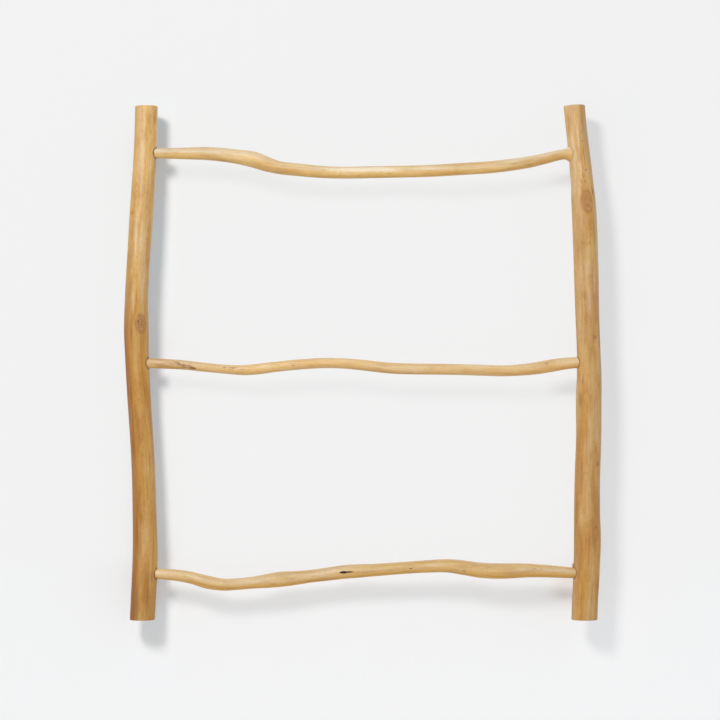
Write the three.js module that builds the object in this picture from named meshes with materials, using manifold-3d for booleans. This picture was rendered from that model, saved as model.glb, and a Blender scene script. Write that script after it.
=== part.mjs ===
// Wall towel rack made of debarked branches: two crooked posts, three wavy rungs let into drilled
// sockets and pegged from behind, and four stand-off blocks that carry the rack clear of the wall.
// Millimetres, +Z up, front towards -Y. The wall is the plane y = 0, and the origin is the point on it
// midway between the two hanger plates, level with the sockets of the top rung.
import * as THREE from "three";
import { mergeVertices } from "three/addons/utils/BufferGeometryUtils.js";
import Module from "manifold-3d";

const wasm = await Module();
wasm.setup();

// Layout of the rack
const POST_SPACING = 651; // between the posts' middles, level with the top sockets
const POST_OUT = 42; // wall to the posts' middles
const POST_TOP_REACH = 73; // post above its top socket
const POST_FOOT_REACH = 69.5; // post below its bottom socket
const UPPER_BAY = 315; // top socket to middle socket
const LOWER_BAY = 316; // middle socket to bottom socket

// Posts
const POST_ROUNDNESS = 0.97; // depth over width
const POST_END_ROUND = 3.5;
const POST_END_CROWN = 1;

// Tenons, sockets and the pegs that lock them
const FIT = 0.3; // gap between pieces that touch
const TENON_DIAMETER = 15;
const TENON_LENGTH = 24;
const TENON_CHAMFER = 1.5;
const TENON_SHOULDER = 1;
const SOCKET_MOUTH_CHAMFER = 1.8;
const PEG_DIAMETER = 5;
const PEG_CHAMFER = 0.6;
const PEG_INSET = 12; // from the post's inner face to the peg
const PEG_SUNK = 1; // peg end below the post's back
const PEG_PAST_TENON = 2;

// Stand-off blocks
const BLOCK_WIDTH = 22;
const BLOCK_HEIGHT = 64;
const BLOCK_CORNER = 6;
const BLOCK_SADDLE = 4; // how far the block's sides reach round the post's back
const BLOCK_SCREW = { head: 8, rim: 0.8, shank: 4, length: 45, pitch: 50, sunk: 0.3 };

// Hanger plates and the pockets behind them
const PLATE_THICKNESS = 1.8;
const PLATE_WIDTH = 16;
const PLATE_HEIGHT = 40;
const PLATE_CORNER = 5;
const PLATE_DROP = 5; // plate's middle below the point that it hangs by
const KEYHOLE_ENTRY = 10;
const KEYHOLE_SLOT = 5;
const KEYHOLE_TRAVEL = 9;
const POCKET_DEPTH = 10;
const POCKET_MARGIN = 0.5; // pocket wider than the keyhole's entry, all round
const PLATE_SCREW = { head: 5.6, rim: 0.3, shank: 2.8, length: 14, pitch: 30, sunk: 0.2 };

// Cross recess of a screw, as shares of its head's width
const RECESS = { long: 0.62, wide: 0.16, deep: 0.3 };

// Felt pads
const PAD_THICKNESS = 2;
const PAD_WIDTH = 18;
const PAD_HEIGHT = 38;
const PAD_CORNER = 4;

// Fineness of the faceted surfaces
const POST_SIDES = 20;
const POST_STEP = 32;
const RUNG_SIDES = 14;
const RUNG_STEP = 13;
const SMALL_SIDES = 12;
const SOCKET_SIDES = 16;
const CORNER_SEGMENTS = 4;
const ARRIS_STEPS = 3;
const MERGE = 1e-3;

// Shapes of the branches as points [share of the length, millimetres]. A bend is sideways on a post and
// upwards on a rung, a bow is away from the wall, and a girth is the width across the branch.
// On a post the share runs down from its top end, on a rung from the left post to the right one.
// A rung's sockets lie forward of the posts' middles, and its right socket higher by its rise.
const LEFT_POST = {
  bends: [
    [0, 2.4], [0.075, 0.6], [0.154, -2.5], [0.216, -5.4], [0.281, -8.7], [0.371, -12.3], [0.436, -13.1],
    [0.48, -12.6], [0.572, -9.4], [0.697, -3.5], [0.79, -1.2], [0.883, -0.3], [0.961, -2.9], [1, -4.5],
  ],
  bows: [
    [0, -5], [0.1, -2], [0.25, 2], [0.35, 4], [0.45, 0], [0.6, -6], [0.68, -6], [0.8, -4], [0.91, -3],
    [1, -3],
  ],
  girths: [
    [0, 34.2], [0.154, 35.2], [0.216, 36], [0.281, 34.8], [0.371, 35.1], [0.436, 37.3], [0.48, 36.3],
    [0.79, 36.3], [0.883, 38.2], [1, 38.2],
  ],
};
const RIGHT_POST = {
  bends: [
    [0, -7.5], [0.046, -4.1], [0.094, 0], [0.154, 4.5], [0.232, 8], [0.309, 10], [0.402, 11.7],
    [0.526, 14.6], [0.573, 13.9], [0.65, 13.8], [0.712, 12.2], [0.79, 11.3], [0.836, 11.8], [0.898, 10.8],
    [0.96, 8.5], [1, 7.4],
  ],
  bows: [[0, 1], [0.1, 2], [0.2, 6], [0.35, 9.5], [0.6, 10], [0.8, 9], [0.91, 7.5], [1, 6]],
  girths: [
    [0, 32.5], [0.046, 32], [0.123, 33.4], [0.154, 34.2], [0.185, 36.6], [0.309, 37.5], [0.402, 36],
    [0.48, 35.9], [0.573, 38.7], [0.65, 38.1], [0.79, 39.4], [0.836, 41], [0.898, 39.6], [1, 39.3],
  ],
};
const TOP_RUNG = {
  rise: -1,
  forward: { left: 2, right: 4 },
  bends: [
    [0, 0], [0.062, -0.5], [0.12, -0.75], [0.159, -2.7], [0.198, -5.9], [0.237, -10.2], [0.276, -17.9],
    [0.3, -22], [0.334, -24.4], [0.392, -27.6], [0.451, -28.9], [0.528, -27.9], [0.665, -25.7],
    [0.742, -22.9], [0.82, -19.7], [0.878, -15.2], [0.917, -11.1], [0.956, -5.4], [0.985, -1.5], [1, 0],
  ],
  bows: [[0, 0], [0.25, 4], [0.55, -3], [0.8, 3], [1, 0]],
  girths: [
    [0, TENON_DIAMETER + 0.6], [0.062, 17.5], [0.12, 20], [0.198, 22.2], [0.237, 25.2], [0.256, 25.4],
    [0.276, 22.8], [0.3, 20.1], [0.334, 19.4], [0.451, 18.3], [0.878, 18.3], [0.917, 17.9], [0.956, 16.7],
    [1, TENON_DIAMETER + 0.6],
  ],
};
const MIDDLE_RUNG = {
  rise: 1,
  forward: { left: 2, right: 1 },
  bends: [
    [0, 0], [0.04, -1], [0.077, -2.5], [0.134, -6.5], [0.19, -9.8], [0.218, -10.6], [0.246, -9.6],
    [0.302, -5.4], [0.358, -1.9], [0.415, -0.1], [0.452, -0.6], [0.489, -2.6], [0.564, -7.8],
    [0.602, -8.9], [0.677, -9.6], [0.752, -10.7], [0.827, -12.1], [0.864, -11.1], [0.902, -8.8],
    [0.939, -4.8], [0.977, -1.2], [1, 0],
  ],
  bows: [[0, 0], [0.2, -3], [0.45, 4], [0.75, -2], [1, 0]],
  girths: [
    [0, TENON_DIAMETER + 0.4], [0.077, 14.4], [0.134, 14], [0.19, 14.3], [0.246, 16.4], [0.302, 15.9],
    [0.415, 15.9], [0.564, 16.7], [0.752, 16.9], [0.864, 17.3], [0.902, 18.7], [0.939, 19.5], [0.977, 18],
    [1, TENON_DIAMETER + 2],
  ],
};
const BOTTOM_RUNG = {
  rise: 2.5,
  forward: { left: 2, right: 2 },
  bends: [
    [0, 0], [0.041, -1.8], [0.079, -5.4], [0.118, -11.9], [0.156, -15.8], [0.195, -15.2], [0.233, -13.2],
    [0.3, -8.6], [0.329, -7.2], [0.406, -1.8], [0.445, 1.4], [0.522, 4.8], [0.599, 8], [0.656, 10.1],
    [0.695, 10.9], [0.733, 8.2], [0.772, 4.4], [0.81, 2.8], [0.887, 3.5], [0.926, 2.7], [0.964, 1.3], [1, 0],
  ],
  bows: [[0, 0], [0.15, 3], [0.4, -4], [0.7, 4], [1, 0]],
  girths: [
    [0, TENON_DIAMETER + 0.8], [0.079, 18.6], [0.118, 20.4], [0.156, 18.8], [0.195, 18], [0.233, 18.6],
    [0.272, 21.9], [0.3, 23.1], [0.329, 21.5], [0.368, 19.4], [0.445, 20.9], [0.483, 20.7], [0.522, 19.1],
    [0.695, 20], [0.733, 22.2], [0.849, 23.1], [0.887, 21.2], [0.926, 19.4], [0.964, 17.9],
    [1, TENON_DIAMETER + 1.2],
  ],
};

// Finishes
const POST_WOOD = { color: 0xc49b66, roughness: 0.62, metalness: 0 };
const RUNG_WOOD = { color: 0xd7b787, roughness: 0.6, metalness: 0 };
const BLOCK_WOOD = { color: 0xb98d58, roughness: 0.65, metalness: 0 };
const PEG_WOOD = { color: 0xcfae7c, roughness: 0.6, metalness: 0 };
const ZINC_STEEL = { color: 0xb9bcc0, roughness: 0.35, metalness: 1 };
const FELT = { color: 0x6e6a64, roughness: 0.95, metalness: 0 };

const POST_LENGTH = POST_TOP_REACH + UPPER_BAY + LOWER_BAY + POST_FOOT_REACH;
const TENON_RADIUS = TENON_DIAMETER / 2;
const PAST = 5; // how far a cutting tool runs past the surface that it cuts

// Solids: a closed three.js geometry made into one that can be joined and cut, and back again
function solid(geometry) {
  const bare = new THREE.BufferGeometry();
  bare.setAttribute("position", geometry.attributes.position);
  bare.setIndex(geometry.index);
  const merged = mergeVertices(bare, MERGE);
  return new wasm.Manifold(
    new wasm.Mesh({
      numProp: 3,
      vertProperties: new Float32Array(merged.attributes.position.array),
      triVerts: new Uint32Array(merged.index.array),
    }),
  );
}

function geometryOf(body) {
  const { vertProperties, triVerts } = body.getMesh();
  const geometry = new THREE.BufferGeometry();
  geometry.setAttribute("position", new THREE.BufferAttribute(vertProperties, 3));
  geometry.setIndex(new THREE.BufferAttribute(triVerts, 1));
  geometry.computeVertexNormals();
  return geometry;
}

function mesh(name, body, finish) {
  const piece = new THREE.Mesh(geometryOf(body), new THREE.MeshStandardMaterial(finish));
  piece.name = name;
  return piece;
}

// A round bar on the Y axis, closed at both ends, from a profile of [radius, place along the bar]
function turned(profile, sides) {
  return new THREE.LatheGeometry(
    profile.map(([radius, place]) => new THREE.Vector2(radius, place)),
    sides,
  );
}

// Moves every vertex of a geometry
function moved(geometry, move) {
  const positions = geometry.attributes.position;
  const point = new THREE.Vector3();
  for (let i = 0; i < positions.count; i++) {
    move(point.fromBufferAttribute(positions, i));
    positions.setXYZ(i, point.x, point.y, point.z);
  }
  return geometry;
}

// A smooth curve through points [share, value], level beyond its ends
function smooth(points) {
  const curve = new THREE.CubicInterpolant(
    points.map(([share]) => share),
    points.map(([, value]) => value),
    1,
  );
  return (share) => curve.evaluate(share)[0];
}

function evenSteps(start, end, step) {
  const count = Math.ceil((end - start) / step);
  return Array.from({ length: count + 1 }, (_, i) => THREE.MathUtils.lerp(start, end, i / count));
}

// A post's middle, half width, inner face and back at any height. The side is -1 for the left post.
function postLine(side, { bends, bows, girths }) {
  const bend = smooth(bends);
  const bow = smooth(bows);
  const girth = smooth(girths);
  const share = (z) => (POST_TOP_REACH - z) / POST_LENGTH;
  const x = (z) => (side * POST_SPACING) / 2 + bend(share(z)) - bend(share(0));
  const y = (z) => -POST_OUT - bow(share(z));
  const half = (z) => girth(share(z)) / 2;
  const face = (z) => x(z) - side * half(z);
  // The back's distance from the wall side, at a sideways offset from the middle
  const back = (z, offset) => y(z) + POST_ROUNDNESS * Math.sqrt(half(z) ** 2 - offset ** 2);
  return { side, x, y, half, face, back };
}

// A post's branch, with rounded ends, grown all round by an amount
function postBar(post, grown) {
  const foot = POST_TOP_REACH - POST_LENGTH;
  const arris = Array.from({ length: ARRIS_STEPS }, (_, i) => {
    const angle = ((i / ARRIS_STEPS) * Math.PI) / 2;
    return POST_END_ROUND * (1 - Math.cos(angle));
  });
  const heights = [
    ...arris.map((drop) => foot + drop),
    ...evenSteps(foot + POST_END_ROUND, POST_TOP_REACH - POST_END_ROUND, POST_STEP),
    ...arris.map((drop) => POST_TOP_REACH - drop).reverse(),
  ];
  const radius = (z) => {
    const inside = Math.min(z - foot, POST_TOP_REACH - z, POST_END_ROUND);
    const fall = POST_END_ROUND - Math.sqrt(POST_END_ROUND ** 2 - (POST_END_ROUND - inside) ** 2);
    return post.half(z) - fall + grown;
  };
  const profile = [
    [0, foot - POST_END_CROWN],
    ...heights.map((z) => [radius(z), z]),
    [0, POST_TOP_REACH + POST_END_CROWN],
  ];
  const bar = turned(profile, POST_SIDES).rotateX(Math.PI / 2);
  return solid(
    moved(bar, (point) => {
      point.x += post.x(point.z);
      point.y = point.y * POST_ROUNDNESS + post.y(point.z);
    }),
  );
}

// A rung between two sockets. Its tenons run straight into the posts, level with their sockets.
function rungBar({ bends, bows, girths }, left, right) {
  const bend = smooth(bends);
  const bow = smooth(bows);
  const girth = smooth(girths);
  const span = right.x - left.x;
  const tenon = [
    [TENON_RADIUS - TENON_CHAMFER, TENON_LENGTH],
    [TENON_RADIUS, TENON_LENGTH - TENON_CHAMFER],
    [TENON_RADIUS, TENON_SHOULDER],
  ];
  const profile = [
    [0, -TENON_LENGTH],
    ...tenon.map(([radius, depth]) => [radius, -depth]),
    ...evenSteps(0, span, RUNG_STEP).map((place) => [girth(place / span) / 2, place]),
    ...tenon.map(([radius, depth]) => [radius, span + depth]).reverse(),
    [0, span + TENON_LENGTH],
  ];
  const bar = turned(profile, RUNG_SIDES).rotateZ(-Math.PI / 2);
  return solid(
    moved(bar, (point) => {
      const share = THREE.MathUtils.clamp(point.x / span, 0, 1);
      point.x += left.x;
      point.y += THREE.MathUtils.lerp(left.y, right.y, share) - bow(share);
      point.z += THREE.MathUtils.lerp(left.z, right.z, share) + bend(share);
    }),
  );
}

// The drilled socket of a tenon, with its chamfered mouth at the post's inner face
function socketTool(side, seat) {
  const bore = TENON_RADIUS + FIT;
  const mouth = bore + SOCKET_MOUTH_CHAMFER;
  const profile = [
    [0, -TENON_LENGTH - FIT],
    [bore, -TENON_LENGTH - FIT],
    [bore, -SOCKET_MOUTH_CHAMFER],
    [mouth, 0],
    [mouth + PAST, PAST],
    [0, PAST],
  ];
  return solid(turned(profile, SOCKET_SIDES).rotateZ((side * Math.PI) / 2)).translate(seat.x, seat.y, seat.z);
}

// A locking peg, grown all round by an amount, that runs in from the post's back past the tenon
function pegBar(post, seat, grown, openBack) {
  const radius = PEG_DIAMETER / 2 + grown;
  const offset = post.half(seat.z) - PEG_INSET;
  const tail = post.back(seat.z, offset) - PEG_SUNK + openBack;
  const tip = seat.y - TENON_RADIUS - PEG_PAST_TENON - grown;
  const profile = [
    [0, tip],
    [radius - PEG_CHAMFER, tip],
    [radius, tip + PEG_CHAMFER],
    [radius, tail - PEG_CHAMFER],
    [radius - PEG_CHAMFER, tail],
    [0, tail],
  ];
  return solid(turned(profile, SMALL_SIDES)).translate(post.x(seat.z) - post.side * offset, 0, seat.z);
}

// A countersunk screw that points to -Y with its head's face at y = 0
function screwBar({ head, rim, shank, length }, grown, openHead) {
  const cone = (head - shank) / 2;
  const profile = [
    [0, -length - grown],
    [shank / 2 + grown, shank - length - grown],
    [shank / 2 + grown, -rim - cone],
    [head / 2 + grown, -rim],
    [head / 2 + grown, openHead],
    [0, openHead],
  ];
  return solid(turned(profile, SMALL_SIDES));
}

// The screw with the cross recess that drives it
function drivenScrew(size) {
  const [long, wide, deep] = [RECESS.long, RECESS.wide, RECESS.deep].map((share) => share * size.head);
  const blade = solid(new THREE.BoxGeometry(long, 2 * deep, wide));
  const crossBlade = solid(new THREE.BoxGeometry(wide, 2 * deep, long));
  return screwBar(size, 0, 0).subtract(blade).subtract(crossBlade);
}

// A flat piece against the wall side, from an outline seen from the front, between two depths
function slab(outline, back, front) {
  const settings = { depth: back - front, bevelEnabled: false, curveSegments: CORNER_SEGMENTS };
  return solid(new THREE.ExtrudeGeometry(outline, settings).rotateX(Math.PI / 2)).translate(0, back, 0);
}

function roundedOutline(width, height, corner) {
  const [x, z] = [width / 2 - corner, height / 2 - corner];
  const outline = new THREE.Shape();
  outline.absarc(x, z, corner, 0, Math.PI / 2);
  outline.absarc(-x, z, corner, Math.PI / 2, Math.PI);
  outline.absarc(-x, -z, corner, Math.PI, 1.5 * Math.PI);
  outline.absarc(x, -z, corner, 1.5 * Math.PI, 2 * Math.PI);
  return outline;
}

// Upright slot with round ends, its upper centre at height 0
function slotOutline(width, travel) {
  const radius = width / 2;
  const outline = new THREE.Shape();
  outline.absarc(0, 0, radius, 0, Math.PI);
  outline.absarc(0, -travel, radius, Math.PI, 2 * Math.PI);
  return outline;
}

function keyholeTool(back, front) {
  const slot = slab(slotOutline(KEYHOLE_SLOT, KEYHOLE_TRAVEL), back, front);
  const entry = slab(slotOutline(KEYHOLE_ENTRY, 0), back, front).translate(0, 0, -KEYHOLE_TRAVEL);
  return slot.add(entry);
}

// Heights of the two screws of a pair, about its middle
const screwPair = (size, middle) => [middle + size.pitch / 2, middle - size.pitch / 2];

// A stand-off in its own frame: the wall side at y = 0 and its reference point at z = 0. The facing, a
// hanger plate or a pad, lies between the block and the wall.
function standOff(name, post, z, facing) {
  const group = new THREE.Group();
  group.position.set(post.x(z), 0, z);
  const blockBack = -facing.thickness - FIT;
  const blockFront = post.back(z, 0) - BLOCK_SADDLE;
  const outline = roundedOutline(BLOCK_WIDTH, BLOCK_HEIGHT, BLOCK_CORNER);
  let block = slab(outline, blockBack, blockFront)
    .translate(0, 0, -facing.drop)
    .subtract(postBar(post, FIT).translate(-group.position.x, 0, -z));
  const headFace = blockBack - BLOCK_SCREW.sunk;
  const screwHeights = screwPair(BLOCK_SCREW, -facing.drop);
  const holes = screwHeights.map((height) =>
    screwBar(BLOCK_SCREW, FIT, PAST).translate(0, headFace, height),
  );
  [...holes, ...facing.cuts(blockBack)].forEach((cut) => (block = block.subtract(cut)));
  group.add(mesh(`${name}_block`, block, BLOCK_WOOD));
  screwHeights.forEach((height, i) => {
    const screw = mesh(`${name}_block_screw_${i + 1}`, drivenScrew(BLOCK_SCREW), ZINC_STEEL);
    screw.position.set(0, headFace, height);
    group.add(screw);
  });
  facing.pieces().forEach((piece) => group.add(piece));
  return { group, holes: holes.map((hole) => hole.translate(group.position.x, 0, z)) };
}

// What faces the wall on an upper block: the keyhole plate, its two screws and the pocket behind it
function hangerFacing(side) {
  const screwHeights = screwPair(PLATE_SCREW, -PLATE_DROP);
  const headFace = -PLATE_SCREW.sunk;
  const pilots = screwHeights.map((height) =>
    screwBar(PLATE_SCREW, FIT, PAST).translate(0, headFace, height),
  );
  return {
    thickness: PLATE_THICKNESS,
    drop: PLATE_DROP,
    cuts: (back) => {
      const width = KEYHOLE_ENTRY + 2 * POCKET_MARGIN;
      return [slab(slotOutline(width, KEYHOLE_TRAVEL), back + PAST, back - POCKET_DEPTH), ...pilots];
    },
    pieces: () => {
      const outline = roundedOutline(PLATE_WIDTH, PLATE_HEIGHT, PLATE_CORNER);
      const blank = slab(outline, 0, -PLATE_THICKNESS).translate(0, 0, -PLATE_DROP);
      const cuts = [keyholeTool(PAST, -PLATE_THICKNESS - PAST), ...pilots];
      const plate = cuts.reduce((rest, cut) => rest.subtract(cut), blank);
      const screws = screwHeights.map((height, i) => {
        const screw = mesh(`${side}_plate_screw_${i + 1}`, drivenScrew(PLATE_SCREW), ZINC_STEEL);
        screw.position.set(0, headFace, height);
        return screw;
      });
      return [mesh(`${side}_hanger_plate`, plate, ZINC_STEEL), ...screws];
    },
  };
}

// What faces the wall on a lower block: a felt pad
function padFacing(side) {
  const outline = roundedOutline(PAD_WIDTH, PAD_HEIGHT, PAD_CORNER);
  return {
    thickness: PAD_THICKNESS,
    drop: 0,
    cuts: () => [],
    pieces: () => [mesh(`${side}_wall_pad`, slab(outline, 0, -PAD_THICKNESS), FELT)],
  };
}

const posts = { left: postLine(-1, LEFT_POST), right: postLine(1, RIGHT_POST) };
const rungs = [
  { name: "top", shape: TOP_RUNG, z: 0 },
  { name: "middle", shape: MIDDLE_RUNG, z: -UPPER_BAY },
  { name: "bottom", shape: BOTTOM_RUNG, z: -UPPER_BAY - LOWER_BAY },
];

const rack = new THREE.Group();
const seatOf = (post, z, forward) => ({ x: post.face(z), y: post.y(z) - forward, z });
const postSolids = { left: postBar(posts.left, 0), right: postBar(posts.right, 0) };

// Rungs, their sockets and the pegs through them
for (const { name, shape, z } of rungs) {
  const seats = {
    left: seatOf(posts.left, z, shape.forward.left),
    right: seatOf(posts.right, z + shape.rise, shape.forward.right),
  };
  let rung = rungBar(shape, seats.left, seats.right);
  for (const [side, post] of Object.entries(posts)) {
    const seat = seats[side];
    const pegHole = pegBar(post, seat, FIT, PAST);
    rung = rung.subtract(pegHole);
    postSolids[side] = postSolids[side].subtract(socketTool(post.side, seat)).subtract(pegHole);
    rack.add(mesh(`${side}_${name}_peg`, pegBar(post, seat, 0, 0), PEG_WOOD));
  }
  rack.add(mesh(`${name}_rung`, rung, RUNG_WOOD));
}

// Stand-offs, level with each other: hanger plates at the top sockets, pads at the bottom ones
for (const [side, post] of Object.entries(posts)) {
  const upper = standOff(`${side}_upper`, post, rungs[0].z, hangerFacing(side));
  const lower = standOff(`${side}_lower`, post, rungs[2].z, padFacing(side));
  for (const { group, holes } of [upper, lower]) {
    rack.add(group);
    holes.forEach((hole) => (postSolids[side] = postSolids[side].subtract(hole)));
  }
  rack.add(mesh(`${side}_post`, postSolids[side], POST_WOOD));
}

export default rack;
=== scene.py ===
"""Wall towel rack: three wavy rungs between two crooked posts, dressed in wood and set in a pale studio."""

import math

import bmesh
import bpy
import numpy as np
from bpy.props import FloatProperty, FloatVectorProperty, IntProperty, PointerProperty
from bpy.types import Operator, Panel, PropertyGroup
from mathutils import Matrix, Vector, noise


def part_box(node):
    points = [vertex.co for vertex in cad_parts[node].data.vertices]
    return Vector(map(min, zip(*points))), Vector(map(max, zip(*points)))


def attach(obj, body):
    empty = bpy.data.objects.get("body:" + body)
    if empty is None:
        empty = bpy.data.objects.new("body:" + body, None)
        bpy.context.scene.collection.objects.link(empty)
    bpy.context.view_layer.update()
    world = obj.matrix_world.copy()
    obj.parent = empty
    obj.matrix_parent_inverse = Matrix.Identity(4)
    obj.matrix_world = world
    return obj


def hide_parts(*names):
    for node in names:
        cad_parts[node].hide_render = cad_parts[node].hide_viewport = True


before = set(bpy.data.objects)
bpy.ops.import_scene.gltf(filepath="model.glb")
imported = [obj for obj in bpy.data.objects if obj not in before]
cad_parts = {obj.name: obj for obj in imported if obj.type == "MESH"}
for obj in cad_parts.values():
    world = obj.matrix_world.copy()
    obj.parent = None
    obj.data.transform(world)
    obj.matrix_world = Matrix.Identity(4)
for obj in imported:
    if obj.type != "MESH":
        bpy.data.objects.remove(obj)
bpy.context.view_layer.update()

bl_info = {
    "name": "Branch Towel Rack",
    "version": (1, 0, 0),
    "blender": (4, 5, 0),
    "location": "3D View > Sidebar > Towel Rack",
    "description": "Dresses a wall towel rack made of debarked branches and lights it against a pale wall",
    "category": "Add Mesh",
}

MM = 0.001
SIDES = {"left": -1, "right": 1}
LEVELS = ("top", "middle", "bottom")

# Shapes of the branches as points (share of the length, millimetres). A bend is sideways on a post and
# upwards on a rung, a bow is away from the wall, and a girth is the width across the branch.
POST_SHAPES = {
    "left": {
        "bends": [
            (0, 1.7), (0.075, 0.5), (0.154, -2.5), (0.216, -5.4), (0.281, -8.7), (0.371, -12.3),
            (0.436, -13.1), (0.48, -12.6), (0.572, -9.4), (0.697, -3.5), (0.79, -1.2), (0.883, -0.3),
            (0.961, -2.9), (1, -4.5),
        ],
        "bows": [
            (0, -5), (0.1, -2), (0.25, 2), (0.35, 4), (0.45, 0), (0.6, -6), (0.68, -6), (0.8, -4),
            (0.91, -3), (1, -3),
        ],
        "girths": [
            (0, 34.2), (0.154, 35.2), (0.216, 36), (0.281, 34.8), (0.371, 35.1), (0.436, 37.3),
            (0.48, 36.3), (0.79, 36.3), (0.883, 38.2), (1, 38.2),
        ],
    },
    "right": {
        "bends": [
            (0, -7.5), (0.046, -4.1), (0.094, 0), (0.154, 4.4), (0.232, 7.6), (0.309, 9.5), (0.402, 11.2),
            (0.526, 14.1), (0.573, 13.4), (0.65, 13.3), (0.712, 11.7), (0.79, 10.9), (0.836, 11.7),
            (0.898, 10.8), (0.96, 8.5), (1, 7.4),
        ],
        "bows": [
            (0, 1), (0.1, 2), (0.2, 6), (0.35, 9.5), (0.6, 10), (0.8, 9), (0.91, 7.5), (1, 6),
        ],
        "girths": [
            (0, 32.5), (0.046, 32), (0.123, 33.4), (0.154, 34.2), (0.185, 36.6), (0.309, 37.5),
            (0.402, 36), (0.48, 35.9), (0.573, 38.7), (0.65, 38.1), (0.79, 39.4), (0.836, 41),
            (0.898, 39.6), (1, 39.3),
        ],
    },
}
RUNG_SHAPES = {
    "top": {
        "rise": -1,
        "forward": {"left": 2, "right": 4},
        "bends": [
            (0, 0), (0.062, -0.5), (0.12, -0.75), (0.159, -2.7), (0.198, -5.9), (0.237, -10.2),
            (0.276, -17.9), (0.3, -22), (0.334, -24.4), (0.392, -27.6), (0.451, -28.9), (0.528, -27.9),
            (0.665, -26.1), (0.742, -23.6), (0.82, -20.4), (0.878, -15.8), (0.917, -11.5),
            (0.956, -5.6), (0.985, -1.5), (1, 0),
        ],
        "bows": [(0, 0), (0.25, 4), (0.55, -3), (0.8, 3), (1, 0)],
        "girths": [
            (0, 15.6), (0.062, 17.5), (0.12, 20), (0.198, 22.2), (0.237, 25.2), (0.256, 25.4),
            (0.276, 22.8), (0.3, 20.1), (0.334, 19.4), (0.451, 18.3), (0.878, 18.3), (0.917, 17.9),
            (0.956, 16.7), (0.985, 16), (1, 16.6),
        ],
    },
    "middle": {
        "rise": 1,
        "forward": {"left": 2, "right": 1},
        "bends": [
            (0, 0), (0.04, -1), (0.077, -2.5), (0.134, -6.5), (0.19, -9.8), (0.218, -10.6),
            (0.246, -9.6), (0.302, -5.4), (0.358, -1.9), (0.415, -0.1), (0.452, -0.6), (0.489, -2.6),
            (0.564, -7.8), (0.602, -8.9), (0.677, -9.6), (0.752, -10.7), (0.827, -12.1),
            (0.864, -11.1), (0.902, -8.8), (0.939, -4.8), (0.977, -1.2), (1, 0),
        ],
        "bows": [(0, 0), (0.2, -3), (0.45, 4), (0.75, -2), (1, 0)],
        "girths": [
            (0, 15.4), (0.077, 14.4), (0.134, 14), (0.19, 14.3), (0.246, 16.4), (0.302, 15.9),
            (0.415, 15.9), (0.564, 16.7), (0.752, 16.9), (0.864, 17.3), (0.902, 18.7), (0.939, 19.5),
            (0.977, 18), (1, 17),
        ],
    },
    "bottom": {
        "rise": 2.5,
        "forward": {"left": 2, "right": 2},
        "bends": [
            (0, 0), (0.041, -1.8), (0.079, -5.4), (0.118, -11.9), (0.156, -15.8), (0.195, -15.2),
            (0.233, -13.2), (0.3, -8.6), (0.329, -7.2), (0.406, -1.8), (0.445, 1.4), (0.522, 4.8),
            (0.599, 8.5), (0.656, 10.7), (0.695, 11.5), (0.733, 8.9), (0.772, 5.1), (0.81, 3.5),
            (0.887, 4.1), (0.926, 3.2), (0.964, 1.6), (1, 0),
        ],
        "bows": [(0, 0), (0.15, 3), (0.4, -4), (0.7, 4), (1, 0)],
        "girths": [
            (0, 15.8), (0.079, 18.6), (0.118, 20.4), (0.156, 18.8), (0.195, 18), (0.233, 18.6),
            (0.272, 21.9), (0.3, 23.1), (0.329, 21.5), (0.368, 19.4), (0.445, 20.9), (0.483, 20.7),
            (0.522, 19.1), (0.695, 20), (0.733, 22.2), (0.849, 23.1), (0.887, 21.2), (0.926, 19.4),
            (0.964, 17.9), (1, 16.2),
        ],
    },
}

# Joints, in millimetres
FIT = 0.3  # gap round tenons and pegs
TENON, TENON_LENGTH = 7.5, 24  # radius and length
TENON_TIP, TENON_TAPER = 6, 1.5  # radius of a tenon's tip, and how far back it starts to narrow
PEG, PEG_EDGE = 2.5, 0.6  # radius of a peg and the chamfer of its ends
PEG_INSET, PEG_PAST, PEG_SUNK = 12, 2, 1  # from the post's inner face, past the tenon, below the back
# How a rung is whittled round where it enters a post, as points (depth inside the post, radius). A rung
# without such a round has its shoulder scribed to the post and flared by shares (upwards, downwards).
ROUND_SHOULDER = [(0, 7.8), (1.6, 7.7), (3, 7.3), (4.2, 6.6), (5, 5.8), (5.8, 5.2), (7.2, 7.5)]
SCRIBE_REACH, SCRIBE_GAP = 9, 0.25  # how far back a scribed shoulder is shaped, and its gap to the post
FLARES = {("top", "right"): (0.22, 0.55), ("middle", "right"): (0, 0), ("bottom", "right"): (0.05, 0)}
# Distance between the rings of a round shoulder, and depth of the one ring in the tenon of a scribed one
ROUND_STEP, SCRIBED_RING = 0.4, 10
SOCKET_SIDES, PEG_SIDES = 48, 32  # faces round them
# The funnel at the mouth of each socket and the dark rim painted round it as shade in the gap, in
# millimetres: (how much wider than the bore, depth, radius of the rim, its strength)
MOUTHS = {
    "top": {"left": (0.8, 4, 9.2, 0.55), "right": (0.2, 0.3, 8.8, 0.35)},
    "middle": {"left": (0.8, 4, 9.2, 0.6), "right": (0.2, 0.3, 9.4, 0.4)},
    "bottom": {"left": (0.7, 4, 9.6, 0.6), "right": (0.2, 0.3, 9.2, 0.4)},
}

# What the saw takes off the ends of each plain post, in millimetres: (top, foot)
TRIMS = {"left": (2.2, 0.2), "right": (2.0, 1.5)}
TOP_SLANTS = {"left": 0.0, "right": 0.05}  # rise of a top end towards the right
FOOT_SLANT = 0.05  # rise of a foot's cut towards the front
SLANT_REACH, END_CROWN = 12, 0.4  # how far in from an end its slant is felt, and how much the end bulges
# Share of the hollows of a post that a rung has, and the shares of the full grain that each has
RUNG_LUMPS, POST_GRAIN, RUNG_GRAIN = 0.8, 1.15, 0.85
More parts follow.
